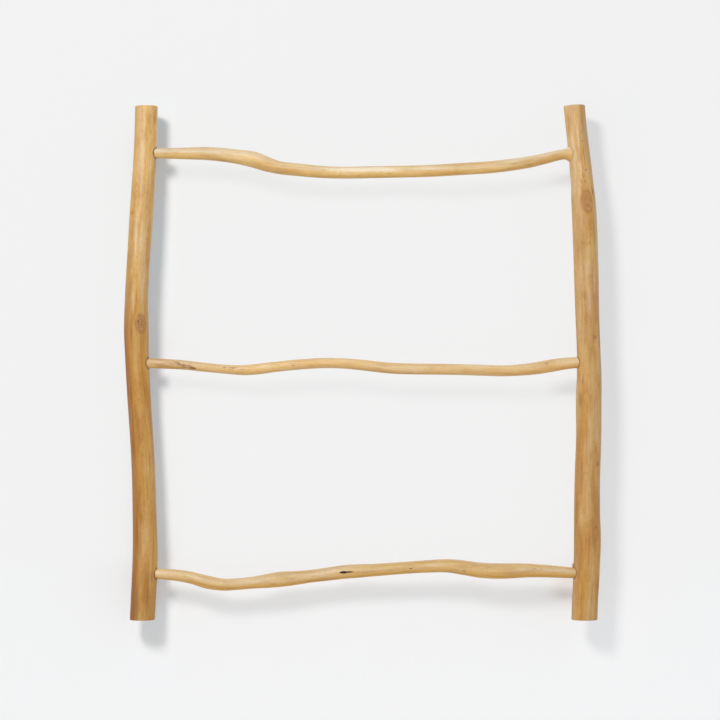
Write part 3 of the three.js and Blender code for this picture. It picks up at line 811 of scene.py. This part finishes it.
def branch_wood(name, ends, reach, edge, joints, marks, look, strength, seed):
    """Debarked, sanded branch wood. Its colour runs between two ends over a reach (start, end) of the long
    axis, and to that of one side: (colour, share, side where it starts, side where it is full, reach),
    which on a post is its darker left side and on a rung painted shade on its underside. Over that lie
    bands, clouds and fibres of a given strength, the marks, painted shade round the joints (place,
    radius, strength) and end grain."""
    wood = finish(name)
    place = wood.attribute("wood_place", "Vector")
    depth = wood.attribute("wood_depth", "Fac")
    side = wood.attribute("wood_side", "Fac")
    along = wood.part(place, 2)

    # Grain that flows round the knots
    flow = place
    for knot in (mark for mark in marks if mark.tone == "knot"):
        away = wood.vector("SUBTRACT", place, tuple(knot.centre))
        span = (knot.width * 1.9, Mark.REACH * 1.5, knot.length * 1.7)
        near = wood.length(wood.vector("DIVIDE", away, span)).ease(1.0, 0.25)
        pull = wood.scaled(wood.vector("MULTIPLY", away, (-0.75, 0, 0)), near)
        flow = wood.vector("ADD", flow, pull)
    flow = wood.vector("ADD", flow, (seed * 0.37, seed * 0.11, seed * 0.53))

    grain = {
        kind: wood.noise(wood.vector("MULTIPLY", flow, (1, 1, stretch)), *settings)
        for kind, (stretch, *settings) in GRAINS.items()
    }
    streak, fibre, cloud, mottle = (grain[kind] for kind in ("streak", "fibre", "cloud", "mottle"))
    ragged = (mottle - 0.5) * 0.9

    # The side's colour: a post's darker left side, and on a rung the painted shade on its underside
    shade, dark_side_and_shade_strength, start, full, dark_side_and_shade_reach = edge
    shaded = wood.mix(along.ease(*reach), linear(ends[0]), linear(ends[1]))

    def lay(share, tone):
        """Lays one of the wood's colours over what is there"""
        return wood.mix(share, shaded, linear(tone))

    dark_side_and_shade = (side + (cloud - 0.5) * 0.9 + (streak - 0.5) * 0.5).ease(start, full) * dark_side_and_shade_strength
    shaded = lay(dark_side_and_shade * along.ease(*dark_side_and_shade_reach), shade)
    for kind, low, high, share, tint in TINTS:
        shaded = wood.mix(grain[kind].ease(low, high) * share * strength, shaded, tint, "MULTIPLY")

    # Marks
    tick = grain["tick"].ease(0.56, 0.66)
    slash = grain["slash"]
    for mark in (mark for mark in marks if mark.strength):
        sockets = {"Vector": place, "Location": tuple(mark.centre), "Rotation": (0, mark.turn, 0)}
        sockets["Scale"] = (mark.width, Mark.REACH, mark.length)
        spot = wood.add("ShaderNodeMapping", {"vector_type": "TEXTURE"}, sockets)
        out = wood.length(spot)
        if mark.tone in SHARP_MARKS:
            wide, deep, long = (wood.part(spot, i) for i in range(3))
            out = wide.maths("ABSOLUTE", wide) + deep * deep + long * long
        if mark.tone == "knot":
            wavy = out + ragged * 0.55
            hatch = mottle.ease(0.36, 0.62)
            inside = wavy.ease(1.25, 0.55)
            shaded = lay(inside * mark.strength * (0.55 + hatch * 0.45), look.knot)
            ring = wavy.maths("SINE", wavy * 15) * 0.5 + 0.5
            rim = wavy.ease(1.35, 1.0) * wavy.ease(0.7, 1.0) * 0.5
            shaded = lay((rim + inside * ring * 0.35) * (0.35 + hatch * 0.65), look.rust)
        elif mark.tone == "flecks":
            shaded = lay((out + ragged * 0.6).ease(1.2, 0.5) * tick * mark.strength, look.rust)
        elif mark.tone == "scar":
            inside = (out + ragged * 0.8).ease(1.2, 0.4) * mark.strength
            shaded = lay(inside * slash.ease(0.5, 0.62) * 0.7, look.pale)
            shaded = lay(inside * slash.ease(0.49, 0.4), look.crack)
        else:
            crisp, rough = SHARP_MARKS.get(mark.tone, SOFT_MARK)
            inside = (out + ragged * rough).ease(1.1, crisp)
            shaded = lay(inside * mark.strength, getattr(look, mark.tone))

    # Painted shade round the joints, where a rung meets the post
    here = wood.place()
    for joint, radius, shade_rim_strength in joints:
        away = wood.vector("MULTIPLY", wood.vector("SUBTRACT", here, tuple(joint)), (0.35, 1, 1))
        near = wood.length(away) + ragged * (1.5 * MM)
        shaded = lay(near.ease((radius + 1.2) * MM, (radius - 0.4) * MM) * shade_rim_strength, look.heart)

    # End grain and the walls of holes
    cut = depth.ease(0.93, 0.86)
    rings = wood.length(wood.vector("MULTIPLY", flow, (1, 1, 0)))
    ringed = rings.maths("SINE", rings * 3800 + cloud * 9) * 0.5 + 0.5
    sawn = wood.mix(ringed * 0.35 + fibre * 0.3, linear(look.cut), linear(look.heart))
    shaded = wood.mix(cut, shaded, sawn)

    relief = fibre * 0.5 + streak * 0.8 - grain["pore"].ease(*PORES) * 0.35
    bump = wood.bump(relief, look.fibre_relief)
    gloss = look.roughness + (fibre - 0.5) * 0.25 + cut * 0.25
    return wood.surface(
        Base_Color=shaded, Roughness=gloss, Normal=bump, Specular_IOR_Level=look.sheen
    )


def planed_wood(name, shade, look, seed, stretch=(1, 1, 0.06)):
    """Straight-grained planed wood in the rack's own frame"""
    wood = finish(name)
    place = wood.vector("ADD", wood.place(), (seed * 0.21, seed * 0.33, seed * 0.17))
    along = wood.vector("MULTIPLY", place, stretch)
    fibre = wood.noise(along, 1100, 4, 0.6)
    ring = wood.noise(along, 330, 2, 0.5)
    tone = (fibre - 0.5) * 0.7 + (ring - 0.5) * 1.1
    shaded = wood.mix(tone.ease(0.05, -0.35, 0, 0.5), linear(shade), linear((0.55, 0.38, 0.2)))
    shaded = wood.mix(tone.ease(0.0, 0.4, 0, 0.3), shaded, linear((0.95, 0.86, 0.7)))
    bump = wood.bump(fibre + ring, look.fibre_relief)
    return wood.surface(Base_Color=shaded, Roughness=0.55 + (fibre - 0.5) * 0.3, Normal=bump)


def zinc_steel():
    """Zinc-plated steel: faint spangle, dull patches and fine scratches"""
    zinc = finish("zinc_steel")
    place = zinc.place()
    cells = {"Vector": place, "Scale": 620.0}
    spangle = zinc.add("ShaderNodeTexVoronoi", {"feature": "F1"}, cells, "Color")
    spangle = zinc.add("ShaderNodeSeparateColor", None, {0: spangle})
    patch = zinc.noise(place, 260, 4, 0.6)
    scratch = zinc.noise(zinc.vector("MULTIPLY", place, (1, 1, 0.05)), 3200, 2, 0.6)
    shade = zinc.mix(spangle * 0.3 + patch * 0.5, linear((0.87, 0.82, 0.77)), linear((0.73, 0.68, 0.63)))
    dull = 0.27 + patch * 0.22 + spangle * 0.08
    bump = zinc.bump(scratch * 0.5 + patch, 0.04 * MM)
    return zinc.surface(Base_Color=shade, Metallic=1.0, Roughness=dull, Normal=bump)


def grey_felt():
    """Pressed grey wool felt: matted fibres with paler flecks"""
    felt = finish("grey_felt")
    place = felt.place()
    wander = felt.noise(place, 500, 2, 0.5, "Color")
    tangled = felt.vector("ADD", place, felt.vector("MULTIPLY", wander, (2 * MM,) * 3))
    fibre = felt.noise(felt.vector("MULTIPLY", tangled, (1, 1, 0.25)), 2400, 4, 0.7)
    cross = felt.noise(felt.vector("MULTIPLY", tangled, (0.25, 1, 1)), 2400, 4, 0.7)
    mat = (fibre + cross) * 0.5
    shade = felt.mix(mat.ease(0.35, 0.65), linear((0.33, 0.32, 0.30)), linear((0.52, 0.50, 0.47)))
    return felt.surface(
        Base_Color=shade, Roughness=0.95, Normal=felt.bump(mat, 0.4 * MM), Sheen_Weight=0.25,
        Sheen_Roughness=0.5,
    )


# Operators, one for each piece or group of like pieces


class RACK_OT_posts(Operator):
    """Builds the two posts with their sockets and peg holes"""

    bl_idname = "rack.posts"
    bl_label = "Posts"

    def execute(self, context):
        sizes, look = context.scene.rack_sizes, context.scene.rack_wood
        for side in SIDES:
            branch = post_branch(side, sizes)
            lump_seed, grain_seed = SEEDS[branch.name]
            marks = [Mark(branch, *mark) for mark in MARKS[branch.name]]
            top = sizes.top_reach - TRIMS[side][0] * MM
            foot = TRIMS[side][1] * MM - sizes.upper_bay - sizes.lower_bay - sizes.foot_reach

            def slant(own):
                reach = SLANT_REACH * MM
                own[:, 2] += TOP_SLANTS[side] * own[:, 0] * np.clip(1 - (top - own[:, 2]) / reach, 0, 1)
                own[:, 2] -= FOOT_SLANT * own[:, 1] * np.clip(1 - (own[:, 2] - foot) / reach, 0, 1)

            piece = branch_piece(
                branch, post_profile(branch, foot, top, sizes), sizes.post_sides,
                sizes.lump_depth, marks, lump_seed, slant,
            )
            carve(piece, [socket_tool(level, side, sizes) for level in LEVELS])
            carve(piece, [peg_bar("hole", level, side, sizes, FIT, 4) for level in LEVELS])
            map_wood(piece, branch)
            ends = getattr(look, f"{side}_head"), getattr(look, f"{side}_foot")
            edge = (getattr(look, f"{side}_edge"), *POST_EDGES[side])
            joints = [(seat(level, side, sizes), *MOUTHS[level][side][2:]) for level in LEVELS]
            material = branch_wood(
                f"{side}_post_wood", ends, POST_REACHES[side], edge, joints, marks, look,
                look.grain * POST_GRAIN, grain_seed,
            )
            finish_piece(piece, material, branch.name)
        return {"FINISHED"}


def post_profile(branch, foot, top, sizes):
    """(radius, place) pairs of a post from its foot's middle to its top's"""

    def end(place, arris, outwards):
        """Pairs from the middle of an end to its rim and round the arris"""
        rim = [
            (branch.at(place)[2] - arris * (1 - math.sin(a)), place - outwards * arris * (1 - math.cos(a)))
            for a in np.linspace(0, math.pi / 2, 6)[:-1]
        ]
        crown = outwards * END_CROWN * MM
        shares = (0, 0.25, 0.5, 0.75, 0.9)
        return [(share * rim[0][0], place + crown * (1 - share**2)) for share in shares] + rim

    lower, upper = end(foot, sizes.foot_arris, -1), end(top, sizes.top_arris, 1)
    body = np.linspace(foot + sizes.foot_arris, top - sizes.top_arris, sizes.post_rings)
    return [*lower, *((branch.at(z)[2], z) for z in body), *reversed(upper)]


def socket_tool(level, side, sizes):
    """The drilled socket of a tenon with its funnel mouth"""
    bore, bottom, past = (TENON + FIT) * MM, -(TENON_LENGTH + FIT) * MM, 5 * MM
    wider, depth = (size * MM for size in MOUTHS[level][side][:2])
    profile = [
        (0, bottom), (bore, bottom), (bore, -depth), (bore + wider, 0),
        (bore + wider + past * wider / depth, past), (0, past),
    ]
    return turned("socket", profile, SOCKET_SIDES, (-SIDES[side], 0, 0), seat(level, side, sizes))


def peg_bar(name, level, side, sizes, grown=0, open_back=0):
    """A locking peg that runs in from the post's back, or its hole: grown all round and open behind,
    in millimetres"""
    spot = seat(level, side, sizes)
    branch = post_branch(side, sizes)
    across, depth, half = branch.at(spot.z)
    offset = half - PEG_INSET * MM
    back = depth + branch.roundness * math.sqrt(half**2 - offset**2)
    tip = spot.y - (TENON + PEG_PAST + grown) * MM
    length = back - (PEG_SUNK - open_back) * MM - tip
    radius, edge = (PEG + grown) * MM, PEG_EDGE * MM
    profile = [
        (0, 0), (radius - edge, 0), (radius, edge), (radius, length - edge), (radius - edge, length),
        (0, length),
    ]
    return turned(name, profile, PEG_SIDES, (0, 1, 0), (across - SIDES[side] * offset, tip, spot.z))


class RACK_OT_rungs(Operator):
    """Builds the three rungs with their whittled shoulders and tenons"""

    bl_idname = "rack.rungs"
    bl_label = "Rungs"

    def execute(self, context):
        sizes, look = context.scene.rack_sizes, context.scene.rack_wood
        for level in LEVELS:
            branch = rung_branch(level, sizes)
            lump_seed, grain_seed = SEEDS[branch.name]
            marks = [Mark(branch, *mark) for mark in MARKS[branch.name]]
            left, right = (seat(level, side, sizes).x for side in SIDES)
            piece = branch_piece(
                branch, rung_profile(branch, level, left, right, sizes), sizes.rung_sides,
                sizes.lump_depth * RUNG_LUMPS, marks, lump_seed,
                lambda own: scribe(own, branch, level, right, sizes),
            )
            carve(piece, [peg_bar("hole", level, side, sizes, FIT) for side in SIDES])
            map_wood(piece, branch)
            shade = getattr(look, f"{level}_rung")
            start = [min(c * tint, 1) for c, tint in zip(shade, RUNG_STARTS[level])]
            # The underside colour is painted shade, laid over the lower side of the rung
            edge = (getattr(look, f"{level}_under"), *RUNG_UNDER_SHADE)
            material = branch_wood(
                f"{level}_rung_wood", (start, shade), (left, left + RUNG_FADE), edge, [], marks, look,
                look.grain * RUNG_GRAIN, grain_seed,
            )
            finish_piece(piece, material, branch.name)
        return {"FINISHED"}


def rung_profile(branch, level, left, right, sizes):
    """(radius, place) pairs of a rung from one tenon's end to the other's"""

    def tenon(side, end):
        """(radius, depth inside the post) pairs, in millimetres"""
        if (level, side) in FLARES:
            radii = np.linspace(branch.at(end)[2] / MM, TENON, 5)[1:]
            neck = [(radius, 0) for radius in radii] + [(TENON, SCRIBED_RING)]
        else:
            depths, radii = np.array(ROUND_SHOULDER, float).T
            steps = np.union1d(np.arange(ROUND_STEP, depths[-1], ROUND_STEP), depths[1:])
            neck = [(np.interp(step, depths, radii), step) for step in steps]
        return neck + [(TENON, TENON_LENGTH - TENON_TAPER), (TENON_TIP, TENON_LENGTH), (0, TENON_LENGTH)]

    body = np.linspace(left, right, sizes.rung_rings)
    return [
        *((radius * MM, left - depth * MM) for radius, depth in reversed(tenon("left", left))),
        *zip(branch.half(body), body),
        *((radius * MM, right + depth * MM) for radius, depth in tenon("right", right)),
    ]


def scribe(own, branch, level, end, sizes):
    """Flares a rung's right shoulder and scribes it to the round of the post, where that is wanted"""
    if (level, "right") not in FLARES:
        return
    post = post_branch("right", sizes)
    run = SCRIBE_REACH * MM
    radius = np.hypot(own[:, 0], own[:, 1])
    near = (own[:, 2] > end - run) & (own[:, 2] < end + 0.01 * MM)
    share = np.clip((own[:, 2] - end + run) / run, 0, 1) * near
    beyond = np.clip((radius - TENON * MM) / (0.5 * MM), 0, 1)
    flare = np.where(own[:, 0] > 0, *FLARES[level, "right"])
    own[:, 0] *= 1 + flare * share**2 * beyond
    place = branch.bent(own)
    across, depth = post.middle(place[:, 2])
    half = post.half(place[:, 2])
    inset = np.sqrt(np.clip(half**2 - ((place[:, 1] - depth) / post.roundness) ** 2, 0, None))
    own[:, 2] += share * (across - inset - SCRIBE_GAP * MM - end)


class RACK_OT_pegs(Operator):
    """Builds the six pegs that lock the tenons from behind"""

    bl_idname = "rack.pegs"
    bl_label = "Pegs"

    def execute(self, context):
        sizes, look = context.scene.rack_sizes, context.scene.rack_wood
        material = planed_wood("peg_wood", look.peg, look, seed=2, stretch=(1, 0.06, 1))
        for side in SIDES:
            for level in LEVELS:
                node = f"{side}_{level}_peg"
                piece = peg_bar(f"{node}_dowel", level, side, sizes)
                finish_piece(piece, material, node)
        return {"FINISHED"}


class RACK_OT_blocks(Operator):
    """Builds the stand-off blocks, which narrow towards the wall"""

    bl_idname = "rack.blocks"
    bl_label = "Blocks"

    def execute(self, context):
        sizes, look = context.scene.rack_sizes, context.scene.rack_wood
        material = planed_wood("block_wood", look.block, look, seed=7)
        for name, block in list(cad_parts.items()):
            if name.endswith("_block"):
                finish_piece(block_piece(f"{name}_body", block, sizes), material, name)
        return {"FINISHED"}


def block_piece(name, plain, sizes):
    """A stand-off block from its plain form: drafted towards the wall, with its outer edges eased"""
    mesh = plain.data.copy()
    mesh.name = name
    mesh.transform(plain.matrix_world)
    shell = bmesh.new()
    shell.from_mesh(mesh)
    bmesh.ops.remove_doubles(shell, verts=shell.verts, dist=0.001 * MM)
    bmesh.ops.dissolve_limit(
        shell, angle_limit=math.radians(0.5), verts=shell.verts, edges=shell.edges
    )
    places = [vert.co for vert in shell.verts]
    low, high = (Vector(map(end, zip(*places))) for end in (min, max))
    middle, half = (low + high) / 2, (high - low) / 2
    corner = sizes.block_corner
    outer = set()
    for vert in shell.verts:
        x, z = vert.co.x - middle.x, vert.co.z - middle.z
        past_x, past_z = (max(abs(v) - h + corner, 0) for v, h in ((x, half.x), (z, half.z)))
        if math.hypot(past_x, past_z) > corner * 0.97:
            outer.add(vert)
            draft = sizes.block_draft * (vert.co.y - low.y) / (high.y - low.y)
            vert.co.x = middle.x + x * (1 - draft / half.x)
            vert.co.z = middle.z + z * (1 - draft / half.z)
    weight = shell.edges.layers.float.new("bevel_weight_edge")
    for edge in shell.edges:
        if outer.issuperset(edge.verts) and len(edge.link_faces) == 2:
            edge[weight] = float(edge.calc_face_angle() > math.radians(35))
    shell.to_mesh(mesh)
    shell.free()
    piece = placed(name, mesh)
    ease = piece.modifiers.new("ease", "BEVEL")
    ease.width, ease.segments, ease.limit_method = sizes.block_ease, 3, "WEIGHT"
    settle(piece)
    return piece


class RACK_OT_hardware(Operator):
    """Gives the screws and the hanger plates zinc-plated steel"""

    bl_idname = "rack.hardware"
    bl_label = "Screws and Plates"

    def execute(self, context):
        width, material = context.scene.rack_sizes.plate_ease, zinc_steel()
        for name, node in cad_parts.items():
            if "screw" in name or name.endswith("_plate"):
                node.data.materials.clear()
                node.data.materials.append(material)
            if name.endswith("_plate"):
                ease = node.modifiers.new("ease", "BEVEL")
                ease.width, ease.segments, ease.limit_method = width, 2, "ANGLE"
                ease.angle_limit = math.radians(40)
        return {"FINISHED"}


class RACK_OT_pads(Operator):
    """Builds the felt pads with soft rims"""

    bl_idname = "rack.pads"
    bl_label = "Felt Pads"

    def execute(self, context):
        material = grey_felt()
        for side in SIDES:
            node = f"{side}_wall_pad"
            low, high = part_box(node)
            piece = pad_piece(f"{node}_felt", (low + high) / 2, (high - low) / 2)
            finish_piece(piece, material, node, sharp=80)
        return {"FINISHED"}


def pad_piece(name, middle, half):
    """A die-cut felt pad: rounded corners, edges that bulge a little and a matted face"""
    corner = FELT_CORNER * MM
    outline = []
    for quarter, (side, up) in enumerate(((1, 1), (-1, 1), (-1, -1), (1, -1))):
        for angle in (quarter + np.linspace(0, 1, 9)) * math.pi / 2:
            x = side * (half.x - corner) + corner * math.cos(angle)
            outline.append((x, up * (half.z - corner) + corner * math.sin(angle)))
    rows = [(-y, wide) for y, wide in reversed(FELT_SIDE)] + [(0.0, 1.0)] + FELT_SIDE
    points = [(x * wide, y * half.y, z * wide) for y, wide in rows for x, z in outline]
    sides = len(outline)
    faces = [tuple(range(sides)), tuple(range(len(points) - sides, len(points)))]
    for row in range(0, len(points) - sides, sides):
        for j in range(sides):
            k = (j + 1) % sides
            faces.append((row + j, row + k, row + sides + k, row + sides + j))
    return piece_of(name, np.array(points) + np.array(middle), faces)


class RACK_OT_stage(Operator):
    """Sets up the pale wall and floor, the soft lamps and the camera"""

    bl_idname = "rack.stage"
    bl_label = "Studio"

    def execute(self, context):
        scene, look = context.scene, context.scene.rack_stage
        middle = Vector((VIEW_MIDDLE[0], -scene.rack_sizes.post_out, VIEW_MIDDLE[1]))
        camera = placed("camera", bpy.data.cameras.new("camera"))
        camera.data.lens, camera.data.sensor_width = look.lens, 36
        camera.location = middle - Vector((0, look.distance, 0))
        camera.rotation_euler = (math.pi / 2, 0, 0)
        scene.camera = camera
        key = lamp("key", look.key_power, look.key_size, tuple(look.key_place), middle)
        key.data.color = WARM
        lamp("back", look.back_power, *BACK_LAMP, middle)
        corners = ((-3, FLOOR_Z), (3, FLOOR_Z), (3, 2), (-3, 2))
        sheet("wall", [(x, WALL_Y, z) for x, z in corners], wall_paint(look))
        corners = ((-4, -4), (4, -4), (4, 4), (-4, 4))
        sheet("floor", [(x, y, FLOOR_Z) for x, y in corners], floor_paint(look))
        scene.world = sky(look)
        scene.view_settings.view_transform = "Standard"
        return {"FINISHED"}


def sky(look):
    """Even light, a little stronger from the room than from behind, and a pale backdrop"""
    world = bpy.data.worlds.new("sky")
    world.use_nodes = True
    air = Finish(world)
    way = air.place("Generated")
    strength = air.part(way, 1).ease(-0.3, 0.3, look.front_sky, look.back_sky)
    strength = strength + air.part(way, 0).ease(0.1, 0.9, 0, look.right_sky)
    light = air.add("ShaderNodeBackground", None, {"Color": (*COOL, 1), "Strength": strength})
    backdrop = air.add("ShaderNodeBackground", None, {"Color": linear(look.wall)})
    return air.end("ShaderNodeOutputWorld", air.mix_shaders(air.studio_rays(), light, backdrop))


def lamp(name, power, size, place, target):
    light = placed(name, bpy.data.lights.new(name, "AREA"))
    light.data.shape, light.data.size, light.data.energy = "DISK", size, power
    light.location = place
    light.rotation_euler = (target - Vector(place)).to_track_quat("-Z", "Y").to_euler()
    return light


def sheet(name, corners, material):
    mesh = bpy.data.meshes.new(name)
    mesh.from_pydata(corners, [], [(0, 1, 2, 3)])
    mesh.materials.append(material)
    placed(name, mesh)


def wall_paint(look):
    """Pale wall, seen only from its front, by the camera and in mirrors, and evenly bright however far
    the lamp is. It takes deep shadows beside the left post, and paler ones elsewhere."""
    paint = finish("wall_paint")
    place = paint.place()
    across, height = paint.part(place, 0), paint.part(place, 2)

    def zone(way, first, last):
        return way.ease(*first) * way.ease(*last)

    shade = height.ease(*LOW_WALL, look.upper_shade, look.lower_shade)
    beside = zone(height, *POST_ZONE)
    waist = zone(height, *WAIST_ZONE) * WAIST
    left = across.ease(*LEFT_ZONE[0]) * (across + waist).ease(*LEFT_ZONE[1]) * beside
    shade = shade + left * (look.left_shade - shade)
    right = zone(across, *RIGHT_ZONE) * beside
    shade = shade + right * (look.right_shade - shade)
    corner = zone(across, *CORNER_ZONE)
    for lower, upper, more in CORNERS:
        shade = shade + corner * zone(height, (upper, upper - 0.02), (lower, lower + 0.015)) * more

    lamp_place = Vector(look.key_place)
    away = paint.length(paint.vector("SUBTRACT", place, tuple(lamp_place)))
    farther = away.maths("MINIMUM", away / (lamp_place - Vector(NEAR_SPOT)).length, FAR_LIMIT)
    gain = away.maths("POWER", farther, FALLOFF)

    def tinted(tint):
        return tuple(c * t for c, t in zip(linear(look.wall), (*tint, 1)))

    tone, even = tinted(MATT), tinted(EVEN)
    for where, deep, matt_tint, even_tint in (
        (left * height.ease(*LEFT_FOOT), look.left_shade, LEFT_MATT, LEFT_EVEN),
        (right, look.right_shade, RIGHT_MATT, RIGHT_EVEN),
    ):
        tone = paint.mix(where * deep / shade, tone, tinted(matt_tint))
        even = paint.mix(where * (1 - deep) / (1 - shade), even, tinted(even_tint))
    dull = {"Roughness": 1.0, "Specular_IOR_Level": 0.0}
    matt = paint.principled(Base_Color=paint.scaled(tone, gain), **dull)
    glow = paint.principled(
        Base_Color=(0, 0, 0, 1), Emission_Color=even, Emission_Strength=1.0, **dull
    )
    face = paint.mix_shaders(shade, glow, matt)
    clear = paint.add("ShaderNodeBsdfTransparent")
    behind = paint.add("ShaderNodeNewGeometry", None, None, "Backfacing")
    seen = paint.mix_shaders(paint.studio_rays() * (1 - behind), clear, face)
    return paint.end("ShaderNodeOutputMaterial", seen)


def floor_paint(look):
    """Plain pale floor, which the camera and mirrors see partly as bright as the wall"""
    paint = finish("floor_paint")
    matt = paint.add("ShaderNodeBsdfDiffuse", None, {"Color": linear(look.wall)})
    glow = paint.add("ShaderNodeEmission", None, {"Color": linear(look.wall)})
    face = paint.mix_shaders(paint.studio_rays() * look.floor_glow, matt, glow)
    return paint.end("ShaderNodeOutputMaterial", face)


class RACK_PT_panel(Panel):
    """Lists the towel rack's pieces"""

    bl_idname = "RACK_PT_panel"
    bl_label = "Towel Rack"
    bl_space_type = "VIEW_3D"
    bl_region_type = "UI"
    bl_category = "Towel Rack"

    def draw(self, context):
        for step in STEPS:
            self.layout.operator(step.bl_idname)
        for group in (context.scene.rack_sizes, context.scene.rack_wood, context.scene.rack_stage):
            box = self.layout.box()
            for name in group.__annotations__:
                box.prop(group, name)


STEPS = (
    RACK_OT_stage, RACK_OT_posts, RACK_OT_rungs, RACK_OT_pegs, RACK_OT_blocks, RACK_OT_hardware,
    RACK_OT_pads,
)
CLASSES = (RackSizes, WoodLook, StageLook, *STEPS, RACK_PT_panel)


def register():
    for cls in CLASSES:
        bpy.utils.register_class(cls)
    bpy.types.Scene.rack_sizes = PointerProperty(type=RackSizes)
    bpy.types.Scene.rack_wood = PointerProperty(type=WoodLook)
    bpy.types.Scene.rack_stage = PointerProperty(type=StageLook)


def unregister():
    del bpy.types.Scene.rack_sizes, bpy.types.Scene.rack_wood, bpy.types.Scene.rack_stage
    for cls in reversed(CLASSES):
        bpy.utils.unregister_class(cls)


def main():
    register()
    bpy.ops.rack.stage()
    bpy.ops.rack.posts()
    bpy.ops.rack.rungs()
    bpy.ops.rack.pegs()
    bpy.ops.rack.blocks()
    bpy.ops.rack.hardware()
    bpy.ops.rack.pads()


if __name__ == "__main__":
    main()
